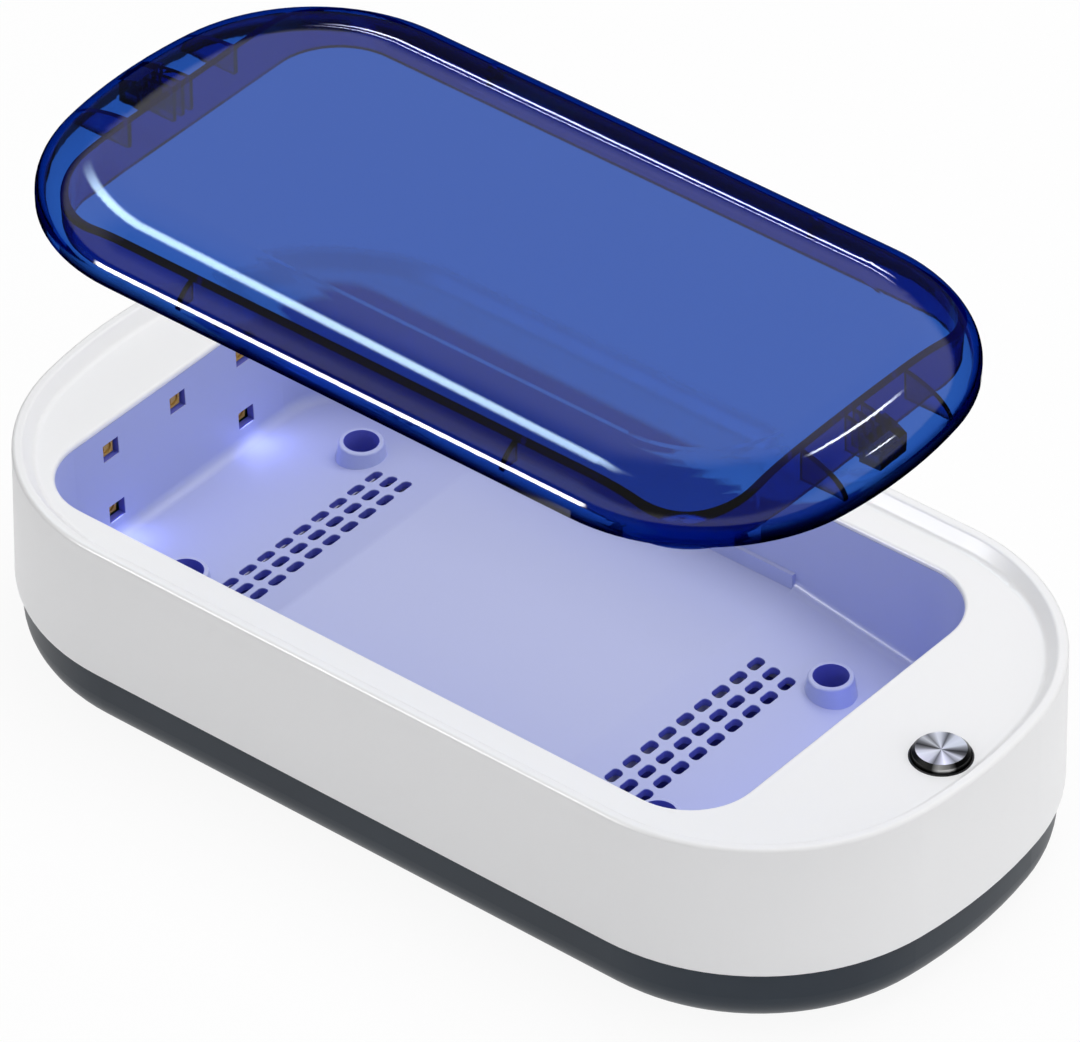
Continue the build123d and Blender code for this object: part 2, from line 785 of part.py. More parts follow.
# ---- charging coil -----------------------------------------------------------------------------
def charging_coil():
    """Flat winding: one washer with a groove between turns."""
    inner, outer = coil_inner / 2, coil_outer / 2
    pitch = (outer - inner) / coil_turns
    groove_z = coil_top - coil_groove
    points = [(inner, coil_under), (inner, groove_z)]
    for turn in range(coil_turns):
        start = inner + turn * pitch
        crest = [(start + share * pitch, coil_top) for share in coil_crest]
        points += [*crest, (start + pitch, groove_z)]
    return ring(well_x, points + [(outer, coil_under)])


def coil_shield():
    return plate(well_x, 0, carrier_top, shield_size, shield_size, shield_thickness, carrier_margin)


def coil_carrier():
    low = carrier_top - carrier_thickness
    carrier = plate(well_x, 0, low, carrier_size, carrier_size, carrier_thickness, 2 * carrier_margin)
    carrier += [rod(x, y, low, carrier_top, carrier_ear) for x, y in carrier_screw_places()]
    hole = board_screw[0] + screw_clearance
    return carrier - [rod(x, y, low - past, carrier_top + past, hole) for x, y in carrier_screw_places()]


# ---- fragrance cups and pads -------------------------------------------------------------------
cup_floor_z = ramp_z(slot_x) - tray_wall - cup_depth
cup_length = (slot_rows - 1) * slot_pitch_y + slot_length + 2 * cup_margin


def cup_x(side):
    return well_x + side * (slot_x - cup_shift)


def fragrance_cup(side):
    outer = centred(cup_x(side), 0, cup_width, cup_length, (cup_floor_z, platform_z))
    inner = centred(cup_x(side), 0, cup_width - 2 * cup_wall, cup_length - 2 * cup_wall,
                    (cup_floor_z + cup_wall, platform_z))
    return (outer - inner) & well_floor(tray_wall)


def fragrance_pad(side):
    length, width = (size - 2 * (cup_wall + pad_clearance) for size in (cup_width, cup_length))
    return plate(cup_x(side), 0, cup_floor_z + cup_wall, length, width, pad_thickness, pad_corner)


# ---- button ------------------------------------------------------------------------------------
def button_bezel():
    outer, inner = bezel_outer / 2, bezel_bore / 2
    top = deck_z + bezel_rise
    return ring(button_x, [
        (inner, bezel_under_z), (outer, bezel_under_z),
        (outer, top - bezel_chamfer), (outer - bezel_chamfer, top),
        (inner + bezel_chamfer, top), (inner, top - bezel_chamfer),
    ])


def button_cap():
    radius = button_diameter / 2
    top = deck_z + button_rise
    stem_low = tact_top + button_travel + tact_slack
    return ring(button_x, [
        (0, stem_low), (cap_stem / 2, stem_low), (cap_stem / 2, cap_flange_low),
        (cap_flange / 2, cap_flange_low), (cap_flange / 2, cap_flange_top),
        (radius, cap_flange_top), (radius, top - button_chamfer), (radius - button_chamfer, top),
        (0, top - button_dish),
    ])


def button_spring():
    low = switch_board_top + spring_wire / 2
    height = cap_flange_low - spring_wire / 2 - low
    coil = Helix(pitch=height / spring_turns, height=height, radius=spring_mean / 2)
    start = Plane(origin=coil @ 0, z_dir=coil % 0)
    section = start * RegularPolygon(spring_wire / 2, wire_facets)
    return Pos(button_x, 0, low) * sweep(section, path=coil, is_frenet=True)


def switch_board():
    board = plate(button_x, 0, switch_board_z, switch_board_width, switch_board_length, board_thickness,
                  switch_board_corner)
    hole = (switch_board_z - past, switch_board_top + past, board_screw[0] + screw_clearance)
    return board - [rod(x, y, *hole) for x, y in switch_screw_places()]


def tact_switch():
    body_top = switch_board_top + tact_height
    body = centred(button_x, 0, tact_size, tact_size, (switch_board_top, body_top))
    return body + rod(button_x, 0, body_top - sink, tact_top, tact_plunger)


# ---- lid ---------------------------------------------------------------------------------------
def dome(inset):
    """Solid under the lid's surface, set in by inset: an upright edge, then an elliptical shoulder."""
    reach, rise = shoulder_width - inset, shoulder_height - inset
    top = lid_edge + rise
    shoulder = EllipticalCenterArc((reach, lid_edge), reach, rise, start_angle=90, arc_size=90)
    section = make_face([shoulder, *Polyline((reach, top), (reach, 0), (0, 0), (0, lid_edge)).edges()])
    outline = lid_plan(inset, lid_z).wire()
    start, along = outline @ 0, outline % 0
    inward = Vector(lid_x, 0, lid_z) - start
    inward -= along * inward.dot(along)
    plane = Plane(origin=start, x_dir=inward, z_dir=inward.cross(Vector(0, 0, 1)))
    edge = sweep(plane * section, path=outline, transition=Transition.RIGHT)
    return edge + prism(lid_plan(shoulder_width, lid_z), top)


def lid_skirt():
    low = lid_z - skirt_drop
    height = skirt_drop + lid_height
    outer = plate(skirt_x, 0, low, skirt_length, skirt_width, height, skirt_corner)
    inner_length, inner_width = skirt_length - 2 * skirt_wall, skirt_width - 2 * skirt_wall
    return outer - plate(skirt_x, 0, low, inner_length, inner_width, height, skirt_corner - skirt_wall)


def lid_gussets():
    """Thin plates that tie the skirt to the outer edge along the sides and the ends."""
    levels = (lid_z + lid_edge, lid_z + lid_height)
    plates = []
    for sx, sy in CORNERS:
        reach = (sy * (skirt_width / 2 - sink), sy * lid_width / 2)
        plates.append(block(around(lid_x + sx * gusset_x, gusset_wall), reach, levels))
        reach = (skirt_x + sx * (skirt_length / 2 - sink), lid_x + sx * lid_length / 2)
        plates.append(block(reach, around(sy * gusset_y, gusset_wall), levels))
    return plates


def lid_pocket(side):
    """Open-bottomed pocket for a magnet, tied to the skirt by three ribs."""
    x = lid_x + side * pocket_x
    levels = (lid_z + pocket_rise, lid_z + lid_height)
    ribs = []
    for k in (-1, 0, 1):
        reach = (x, skirt_x + side * (skirt_length / 2 - sink))
        ribs.append(block(reach, around(k * pocket_rib_pitch, pocket_wall), levels))
    return [centred(x, 0, pocket_length, pocket_width, levels)] + ribs


def pocket_space(side, clearance, low):
    reduce = 2 * (pocket_wall + clearance)
    levels = (low, lid_z + pocket_rise + magnet_height)
    return centred(lid_x + side * pocket_x, 0, pocket_length - reduce, pocket_width - reduce, levels)


def lid_shell():
    outer = dome(0)
    fittings = lid_skirt() + lid_gussets() + lid_pocket(LEFT) + lid_pocket(RIGHT)
    below = prism(lid_plan(lid_wall, lid_z - skirt_drop), skirt_drop)
    shell = outer - dome(lid_wall) + (fittings & (outer + below))
    return shell - [pocket_space(side, 0, lid_z) for side in SIDES]


def lid_magnet(side):
    return pocket_space(side, magnet_clearance, lid_z + pocket_rise)


# ---- lid sensors -------------------------------------------------------------------------------
def lid_sensor(side):
    x = sensor_x(side)
    low = deck_under_z - sensor_board_thickness
    board = centred(x, 0, sensor_board_width, sensor_board_length, (low, deck_under_z))
    board += centred(x, 0, sensor_size, sensor_size, (low - sensor_height, low))
    return board - [rod(x, k * sensor_pin_y, low - past, deck_under_z + past, sensor_pin) for k in SIDES]


# ---- screws ------------------------------------------------------------------------------------
def case_screws():
    return [Pos(x, y, case_head_z) * screw(*case_screw) for x, y in case_screw_places()]


def tray_screws():
    turned = Rot(180, 0, 0) * screw(*tray_screw)
    return [Pos(x, y, tray_joint_z + tray_seat) * turned for x, y in boss_places()]


def board_screws():
    upright = screw(*board_screw)
    screws = [Pos(x, y, main_board_top) * Rot(180, 0, 0) * upright for x, y in main_screw_places()]
    screws += [Pos(x, y, switch_board_z) * upright for x, y in switch_screw_places()]
    screws += [Pos(x, y, carrier_top - carrier_thickness) * upright for x, y in carrier_screw_places()]
    for side in SIDES:
        sideways = Rot(0, -90 * side, 0) * upright
        screws += [Pos(well_x + side * led_board_back, y, z) * sideways for y, z in led_screw_places()]
    return screws


# ---- wires -------------------------------------------------------------------------------------
def board_wire_start(side, y):
    """Where wires leave a connector on the main board."""
    x = main_board_x + plug_x(side) + side * plug_size[0] / 2
    return (x, main_board_y + y, main_board_top + plug_size[2] / 2)


def led_lead(side):
    """From the main board's end, under the tray, up to the connector behind the LED board."""
    x, y, z = board_wire_start(side, led_lead_y(side))
    rise_x = well_x + side * (led_board_back + plug_size[2] / 2)
    return wire_pair([(x, y, z), (rise_x, y, z), (rise_x, y, led_screw_z - plug_size[0] / 2)])


def button_lead():
    x, y, z = board_wire_start(RIGHT, button_lead_y)
    rise_x = button_x + button_lead_x
    return wire_pair([(x, y, z), (rise_x, y, z), (rise_x, y, switch_board_z)])


def coil_leads():
    y = main_board_y - main_board_width / 2 + coil_lead_inset
    x = well_x - coil_outer / 2
    rise_x = (well_x - carrier_size / 2 + cup_x(LEFT) + cup_width / 2) / 2
    z = coil_top - coil_thickness / 2
    return wire_pair([(x, y, z), (rise_x, y, z), (rise_x, y, main_board_top)])


# ---- build -------------------------------------------------------------------------------------
NODES = {
    "upper_housing": upper_housing,
    "uv_tray": uv_tray,
    "bottom_cover": bottom_cover,
    "rubber_feet": rubber_feet,
    "main_board": main_board,
    "board_components": board_components,
    "usb_socket": usb_socket,
    "charging_coil": charging_coil,
    "coil_shield": coil_shield,
    "coil_carrier": coil_carrier,
    "button_bezel": button_bezel,
    "button_cap": button_cap,
    "button_spring": button_spring,
    "switch_board": switch_board,
    "tact_switch": tact_switch,
    "lid_shell": lid_shell,
    "case_screws": case_screws,
    "tray_screws": tray_screws,
    "board_screws": board_screws,
    "button_lead": button_lead,
    "coil_leads": coil_leads,
}
PAIRED_NODES = {
    "uv_board": uv_board,
    "uv_leds": uv_leds,
    "fragrance_cup": fragrance_cup,
    "fragrance_pad": fragrance_pad,
    "lid_magnet": lid_magnet,
    "lid_sensor": lid_sensor,
    "led_lead": led_lead,
}


def write_node(name, shape):
    if isinstance(shape, list):
        shape = Compound(children=[solid for piece in shape for solid in piece.solids()])
    export_step(shape, "parts/" + name + ".step")


os.makedirs("parts", exist_ok=True)
for name, make in NODES.items():
    write_node(name, make())
for name, make in PAIRED_NODES.items():
    write_node(name + "_left", make(LEFT))
    write_node(name + "_right", make(RIGHT))
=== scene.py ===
# %% [markdown]
# # A UV sanitizer box for phones
# The solid parts of the box come ready made from the CAD model, at their real size and place. This lesson
# dresses them: it gives every part the finish of its real material, models the small pieces that CAD leaves
# plain, sets up a soft studio, and points the camera. All lengths are in metres and all colours are sRGB hex
# values.

# %% Load the CAD model
import math
import bmesh
import bpy
from mathutils import Matrix, Vector


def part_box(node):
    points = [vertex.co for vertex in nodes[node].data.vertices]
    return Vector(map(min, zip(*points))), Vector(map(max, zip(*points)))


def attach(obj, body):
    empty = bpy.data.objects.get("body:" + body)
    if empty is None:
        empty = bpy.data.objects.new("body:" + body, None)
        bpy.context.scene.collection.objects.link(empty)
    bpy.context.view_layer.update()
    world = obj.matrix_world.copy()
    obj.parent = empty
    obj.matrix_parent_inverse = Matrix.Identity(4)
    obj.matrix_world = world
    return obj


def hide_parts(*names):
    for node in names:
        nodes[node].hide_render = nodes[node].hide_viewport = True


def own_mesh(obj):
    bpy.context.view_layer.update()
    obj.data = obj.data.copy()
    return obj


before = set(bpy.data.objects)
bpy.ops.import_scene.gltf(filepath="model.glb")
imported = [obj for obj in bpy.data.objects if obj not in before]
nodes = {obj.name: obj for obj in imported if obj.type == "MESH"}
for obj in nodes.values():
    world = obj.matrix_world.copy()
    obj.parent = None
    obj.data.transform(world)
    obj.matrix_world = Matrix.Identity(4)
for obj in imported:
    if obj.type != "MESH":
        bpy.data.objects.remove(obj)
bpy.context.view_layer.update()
MM = 0.001

# %% [markdown]
# The chamber's middle, the deck, the button's axis and the lid's lower edge are what the rest is measured
# from. They are read from the CAD parts, so that they follow when a size changes there. What no part's box
# tells, such as the slope of the chamber's ramps, is a named value in the step that needs it.

# %% Places taken from the CAD parts
CAP_RISE = 1.9 * MM                # the button's face stands this far above the deck

tray_low, tray_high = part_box("uv_tray")
cap_low, cap_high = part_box("button_cap")
lid_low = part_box("lid_shell")[0]

well_x = (tray_low.x + tray_high.x) / 2
button_x = (cap_low.x + cap_high.x) / 2
deck = cap_high.z - CAP_RISE
print("chamber middle x", round(well_x, 4), "button x", round(button_x, 4), "deck", round(deck, 4))

# %% [markdown]
# ## Materials
# Each material is a Principled shader with a few pattern nodes in front of it. The nodes could be added and
# wired one line at a time, but two helpers keep that short: one turns an sRGB hex colour into the linear
# values that Blender mixes with, and one adds a node with its settings and links. Patterns read Object
# coordinates, so they stay on the part wherever it moves.

# %% Colour and node helpers
def linear(code):
    """Linear RGBA from a colour such as "#F2F2F4"."""
    channels = [int(code[i:i + 2], 16) / 255 for i in (1, 3, 5)]
    turned = [c / 12.92 if c <= 0.04045 else ((c + 0.055) / 1.055) ** 2.4 for c in channels]
    return (*turned, 1)


def add(tree, kind, links=None, stops=(), **settings):
    """Adds a node. settings are its properties or, by name, its inputs; links maps inputs to sockets; stops
    are a colour ramp's positions, each with a hex colour or a grey."""
    node = tree.nodes.new(kind)
    for name, value in settings.items():
        if hasattr(node, name):
            setattr(node, name, value)
        else:
            node.inputs[name.replace("_", " ").title()].default_value = value
    for name, socket in (links or {}).items():
        tree.links.new(socket, node.inputs[name])
    for _ in stops[2:]:
        node.color_ramp.elements.new(0.5)
    for number, (position, colour) in enumerate(stops):
        element = node.color_ramp.elements[number]
        element.position = position
        element.color = linear(colour) if isinstance(colour, str) else (colour, colour, colour, 1)
    return node


def new_material(name):
    """An empty material with a Principled shader, and the coordinates that its patterns read."""
    material = bpy.data.materials.new(name)
    material.use_nodes = True
    tree = material.node_tree
    shader = tree.nodes["Principled BSDF"]
    coordinates = tree.nodes.new("ShaderNodeTexCoord").outputs["Object"]
    return material, tree, shader, coordinates


def grain(tree, coordinates, size, height):
    """Bump of a fine random grain: size is the width of a grain and height its depth, both in metres."""
    noise = add(tree, "ShaderNodeTexNoise", {"Vector": coordinates}, Scale=1 / size, Detail=2.0)
    return add(tree, "ShaderNodeBump", {"Height": noise.outputs["Fac"]}, Distance=height, Strength=1.0)


def dress(material, *names):
    """Gives this material to CAD nodes, by name, or to new pieces."""
    for name in names:
        target = nodes[name] if isinstance(name, str) else name
        if not target.material_slots:
            target.data.materials.append(material)
        for slot in target.material_slots:
            slot.material = material
        print(f"{target.name}: {material.name}")


print("the linear value of mid grey is", round(linear("#808080")[0], 3))

# %% [markdown]
# ### White ABS
# The housing is injection-moulded white ABS, from a tool whose steel was finely spark-eroded. The eye sees a
# soft satin sheen with no single grain in it. A bump alone would sparkle, so the roughness is middling and
# drifts a little from place to place, and a grain of a third of a millimetre barely breaks it up. That is
# coarser than the real grain, which is too fine to show.

# %% White moulded ABS
WHITE_CLOUD = 20 * MM
SPARK_GRAIN, SPARK_DEPTH = 0.35 * MM, 0.004 * MM
SHEEN_DRIFT = 0.03


def white_abs(name, colour, roughness):
    material, tree, shader, coordinates = new_material(name)
    shader.inputs["Base Color"].default_value = linear(colour)
    shader.inputs["IOR"].default_value = 1.52
    clouds = add(tree, "ShaderNodeTexNoise", {"Vector": coordinates}, Scale=1 / WHITE_CLOUD, Detail=3.0)
    sheen = add(tree, "ShaderNodeMapRange", {"Value": clouds.outputs["Fac"]})
    sheen.inputs["To Min"].default_value = roughness - SHEEN_DRIFT
    sheen.inputs["To Max"].default_value = roughness + SHEEN_DRIFT
    tree.links.new(sheen.outputs["Result"], shader.inputs["Roughness"])
    bump = grain(tree, coordinates, SPARK_GRAIN, SPARK_DEPTH)
    tree.links.new(bump.outputs["Normal"], shader.inputs["Normal"])
    return material


housing_abs = white_abs("white ABS, satin moulded", "#F1F1F2", 0.34)
inner_abs = white_abs("natural ABS, inner mouldings", "#DADBE2", 0.45)
dress(housing_abs, "upper_housing")
dress(inner_abs, "coil_carrier", "fragrance_cup_left", "fragrance_cup_right")

# %% [markdown]
# ### Slate ABS
# The lower cover is the same plastic, coloured dark slate. Its tool was etched a little coarser, which gives
# a broad, dim highlight along the rounded undercut. Two close tones in slow clouds stand for the faint flow
# marks that a dark moulding shows, where one flat colour would look painted.

# %% Slate moulded ABS
SLATE_CLOUD = 30 * MM
ETCHED_GRAIN, ETCHED_DEPTH = 0.5 * MM, 0.012 * MM


def slate_abs():
    material, tree, shader, coordinates = new_material("slate ABS, fine etched")
    clouds = add(tree, "ShaderNodeTexNoise", {"Vector": coordinates}, Scale=1 / SLATE_CLOUD, Detail=4.0)
    colour = add(tree, "ShaderNodeValToRGB", {"Fac": clouds.outputs["Fac"]},
                 stops=[(0.3, "#29313B"), (0.7, "#2D3640")])
    tree.links.new(colour.outputs["Color"], shader.inputs["Base Color"])
    shader.inputs["Roughness"].default_value = 0.38
    shader.inputs["Specular IOR Level"].default_value = 0.25
    bump = grain(tree, coordinates, ETCHED_GRAIN, ETCHED_DEPTH)
    tree.links.new(bump.outputs["Normal"], shader.inputs["Normal"])
    return material


dress(slate_abs(), "bottom_cover")

# %% [markdown]
# ### The chamber liner's recesses
# The liner's slots, its screw wells and the sides of its lamp windows are out of the UV glow, so they get a
# painted shade of deep blue. They could be painted face by face, but the liner is one part of loose triangles.
# So three tests find them by place: below the line of the ramps, inside the four round wells, and behind the
# face of the end walls. Each test is a comparison that gives 0 or 1, and folding the place with ABSOLUTE lets
# one test serve all four corners.

# %% The liner's recesses
BOSS_OFFSET = (61.8 * MM, 28.0 * MM)
BOSS_HOLE = 3.8 * MM
RAMP_SLOPE = math.tan(math.radians(8.75))
WALL_DRAFT = math.tan(math.radians(3.0))
CREASE = 38.2 * MM                 # from the chamber's middle to where a ramp begins
MOUTH_HALF = 88.0 * MM
PLATFORM_DEPTH = 22.1 * MM
WINDOW_DEPTHS = (4.5 * MM, 26.0 * MM)
BEHIND_FACE = 0.25 * MM            # a point counts as in a recess this far behind the liner's face


def beyond(tree, position, direction, limit):
    """1 where position reaches further than limit along direction, 0 elsewhere."""
    along = add(tree, "ShaderNodeVectorMath", {0: position}, operation="DOT_PRODUCT")
    along.inputs[1].default_value = direction
    test = add(tree, "ShaderNodeMath", {0: along.outputs["Value"]}, operation="GREATER_THAN")
    test.inputs[1].default_value = limit
    return test.outputs["Value"]


def join(tree, operation, *values):
    """Combines 0 or 1 values: MAXIMUM is either, MINIMUM is both."""
    result = values[0]
    for value in values[1:]:
        result = add(tree, "ShaderNodeMath", {0: result, 1: value}, operation=operation).outputs["Value"]
    return result


def in_wells(tree, folded):
    """1 inside the round screw wells, 0 elsewhere."""
    from_boss = add(tree, "ShaderNodeVectorMath", {0: folded}, operation="SUBTRACT")
    from_boss.inputs[1].default_value = (*BOSS_OFFSET, 0)
    flat = add(tree, "ShaderNodeVectorMath", {0: from_boss.outputs["Vector"]}, operation="MULTIPLY")
    flat.inputs[1].default_value = (1, 1, 0)
    distance = add(tree, "ShaderNodeVectorMath", {0: flat.outputs["Vector"]}, operation="LENGTH")
    test = add(tree, "ShaderNodeMath", {0: distance.outputs["Value"]}, operation="LESS_THAN")
    test.inputs[1].default_value = BOSS_HOLE
    return test.outputs["Value"]


def in_recesses(tree, coordinates):
    """1 in the liner's slots, screw wells and window sides, 0 elsewhere."""
    centred = add(tree, "ShaderNodeMapping", {"Vector": coordinates})
    centred.inputs["Location"].default_value = (-well_x, 0, -deck)
    fold = add(tree, "ShaderNodeVectorMath", {0: centred.outputs["Vector"]}, operation="ABSOLUTE")
    folded = fold.outputs["Vector"]
    ramp_line = PLATFORM_DEPTH - RAMP_SLOPE * CREASE
    under_ramp = join(tree, "MINIMUM",
                      beyond(tree, folded, (-RAMP_SLOPE, 0, 1), ramp_line + BEHIND_FACE),
                      beyond(tree, folded, (0, 0, 1), PLATFORM_DEPTH + BEHIND_FACE))
    behind_wall = join(tree, "MINIMUM",
                       beyond(tree, folded, (1, 0, WALL_DRAFT), MOUTH_HALF + BEHIND_FACE),
                       beyond(tree, folded, (0, 0, 1), WINDOW_DEPTHS[0]),
                       beyond(tree, folded, (0, 0, -1), -WINDOW_DEPTHS[1]))
    return join(tree, "MAXIMUM", under_ramp, behind_wall, in_wells(tree, folded))


print("platform at", round(deck - PLATFORM_DEPTH, 4), "end walls at", round(well_x - MOUTH_HALF, 4),
      "and", round(well_x + MOUTH_HALF, 4))

# %% [markdown]
# ### The chamber liner
# The liner is smooth white ABS, and the violet that the UV lamps throw on it is painted into its colour. The
# painted glow is palest on the floor, which faces up into it, and a little deeper on the upright walls, so
# the colour follows the way a face points: that is painted shading. Lamps alone could light it, but painted
# light holds in any light, and the lamps then only add their soft spots.

# %% Violet-lit liner
# painted light: the UV lamps' violet glow, paler on the floor than on the walls
FLOOR_PAINTED_GLOW = "#B2B8DE"
WALL_PAINTED_GLOW = "#A9B2E2"
# painted shade in the slots, the screw wells and the sides of the windows
RECESS_PAINTED_SHADE = "#6168CC"


def liner_abs():
    material, tree, shader, coordinates = new_material("violet-lit ABS, polished liner")
    normal = tree.nodes.new("ShaderNodeNewGeometry").outputs["Normal"]
    facing = add(tree, "ShaderNodeSeparateXYZ", {"Vector": normal})
    # painted shading by facing: faces that point up take the paler painted glow
    glow = add(tree, "ShaderNodeValToRGB", {"Fac": facing.outputs["Z"]},
               stops=[(0.1, WALL_PAINTED_GLOW), (0.95, FLOOR_PAINTED_GLOW)])
    # painted shade takes the place of the painted glow in the recesses
    mixed = add(tree, "ShaderNodeMix", data_type="RGBA")
    tree.links.new(in_recesses(tree, coordinates), mixed.inputs["Factor"])
    tree.links.new(glow.outputs["Color"], mixed.inputs["A"])
    mixed.inputs["B"].default_value = linear(RECESS_PAINTED_SHADE)
    tree.links.new(mixed.outputs["Result"], shader.inputs["Base Color"])
    shader.inputs["Roughness"].default_value = 0.28
    shader.inputs["IOR"].default_value = 1.52
    return material


dress(liner_abs(), "uv_tray")

# %% [markdown]
# ### Clear blue polycarbonate
# The lid is a clear moulding coloured right through. A ray that crosses one wall comes out mid blue, and one
# that runs along the plastic, at the shoulders, the skirt, the ribs and the outer edge, comes out navy or
# black. A tint at the surface alone would make thick and thin plastic the same blue, so half of the colour is
# absorption in the volume, where every millimetre takes its share: red goes first, then green, and blue last.
# The surface carries the other half, so that the long way down the skirt stays navy and doesn't go quite
# black. The cut of the outer edge gathers what comes down the whole wall, so it looks nearly black, and that
# dark outline is painted shade: a band near the lower edge, clear of the skirt, has its surface colour painted
# nearly black. A lid held this high would dim the chamber, so it casts no shadow.

# %% Tinted polycarbonate
ABSORPTION = (925, 545, 189)       # per metre of plastic, in red, green and blue
SURFACE_TINT = "#6494D4"
# painted shade: the dark outline of the lid's lower edge, painted into its surface colour
EDGE_PAINTED_SHADE = "#0C0E2A"
EDGE_BAND = (1.2 * MM, 3.8 * MM)   # above the outer edge: dark below the first, clear above the second
SKIRT_DROP = 2.5 * MM              # the skirt ends this far below the outer edge
SKIRT_MIDDLE = -6.2 * MM
SKIRT_HALF = (86.0 * MM, 46.5 * MM)
SKIRT_CORNER = 17.0 * MM
SKIRT_MARGIN = 4 * MM


def at_skirt(tree, coordinates):
    """1 inside the skirt's rounded rectangle and a margin round it, seen from above, 0 outside."""
    centred = add(tree, "ShaderNodeMapping", {"Vector": coordinates})
    centred.inputs["Location"].default_value = (-SKIRT_MIDDLE, 0, 0)
    place = centred.outputs["Vector"]
    corner_centre = (SKIRT_HALF[0] - SKIRT_CORNER, SKIRT_HALF[1] - SKIRT_CORNER, 0)
    for operation, value in (("ABSOLUTE", (0, 0, 0)), ("SUBTRACT", corner_centre), ("MAXIMUM", (0, 0, 0)),
                             ("MULTIPLY", (1, 1, 0))):
        step = add(tree, "ShaderNodeVectorMath", {0: place}, operation=operation)
        step.inputs[1].default_value = value
        place = step.outputs["Vector"]
    reach = add(tree, "ShaderNodeVectorMath", {0: place}, operation="LENGTH")
    test = add(tree, "ShaderNodeMath", {0: reach.outputs["Value"]}, operation="LESS_THAN")
    test.inputs[1].default_value = SKIRT_CORNER + SKIRT_MARGIN
    return test.outputs["Value"]


def blue_polycarbonate():
    material, tree, shader, coordinates = new_material("clear polycarbonate, tinted blue")
    height = add(tree, "ShaderNodeSeparateXYZ", {"Vector": coordinates})
    # painted shade: below this band, and away from the skirt, the colour turns to the painted near-black
    above = add(tree, "ShaderNodeMapRange", {"Value": height.outputs["Z"]}, interpolation_type="SMOOTHSTEP")
    above.inputs["From Min"].default_value = lid_low.z + SKIRT_DROP + EDGE_BAND[0]
    above.inputs["From Max"].default_value = lid_low.z + SKIRT_DROP + EDGE_BAND[1]
    clear = join(tree, "MAXIMUM", above.outputs["Result"], at_skirt(tree, coordinates))
    colour = add(tree, "ShaderNodeValToRGB", {"Fac": clear}, stops=[(0.0, EDGE_PAINTED_SHADE), (1.0, SURFACE_TINT)])
    tree.links.new(colour.outputs["Color"], shader.inputs["Base Color"])
    shader.inputs["Transmission Weight"].default_value = 1.0
    shader.inputs["Roughness"].default_value = 0.04
    shader.inputs["IOR"].default_value = 1.5
    tint = tree.nodes.new("ShaderNodeVolumeAbsorption")
    density = max(ABSORPTION)
    tint.inputs["Density"].default_value = density
    tint.inputs["Color"].default_value = (*(1 - share / density for share in ABSORPTION), 1)
    tree.links.new(tint.outputs["Volume"], tree.nodes["Material Output"].inputs["Volume"])
    return material


dress(blue_polycarbonate(), "lid_shell")
nodes["lid_shell"].visible_shadow = False
nodes["lid_shell"].visible_diffuse = False

# %% [markdown]
# ### Spun aluminium
# The button's face is turned on a lathe, which leaves fine rings round its middle. Rings scatter light
# across themselves, so the face shows bright and dark wedges that meet at the centre, like a compact disc.
# An anisotropic shader could draw them from the lamps alone, but the wedges would then change with every
# lamp. So they are a painted reflection: a ramp of light and dark that runs round the axis sets the metal's
# colour, and the rings come from a wave bump. Its pitch is a lathe's feed, 0.08 mm a turn, which is too fine
# to tell apart and only softens the face. The chamfer and the side are polished, and their reflection is
# painted too: dark all round, with one painted highlight.

# %% Spun aluminium
# painted reflection: the face's bright and dark wedges, as brightness round the axis
FACE_PAINTED_REFLECTION = [(0.0, 0.5), (0.025, 0.22), (0.059, 0.03), (0.103, 0.3), (0.131, 0.75), (0.17, 0.93),
               (0.261, 0.7), (0.304, 0.12), (0.336, 0.45), (0.375, 0.93), (0.414, 0.6), (0.448, 0.25),
               (0.495, 0.7), (0.534, 0.12), (0.573, 0.03), (0.62, 0.35), (0.653, 0.85), (0.706, 0.95),
               (0.759, 0.85), (0.806, 0.13), (0.859, 0.85), (0.886, 0.93), (0.914, 0.6), (0.945, 0.25),
               (0.984, 0.7), (1.0, 0.5)]
# painted reflection on the chamfer and side: dark all round, with one painted highlight
SIDE_PAINTED_REFLECTION = [(0.0, 0.03), (0.3, 0.02), (0.34, 0.55), (0.4, 0.6), (0.44, 0.02), (0.6, 0.02), (0.72, 0.25),
               (0.85, 0.2), (1.0, 0.03)]
RING_PITCH, RING_DEPTH = 0.07854 * MM, 0.002 * MM
WAVE_PERIOD = math.pi / 10         # from ring to ring of a Wave texture at a scale of 1
FACES_UP = 0.9                     # a face whose normal rises more than this is the button's face


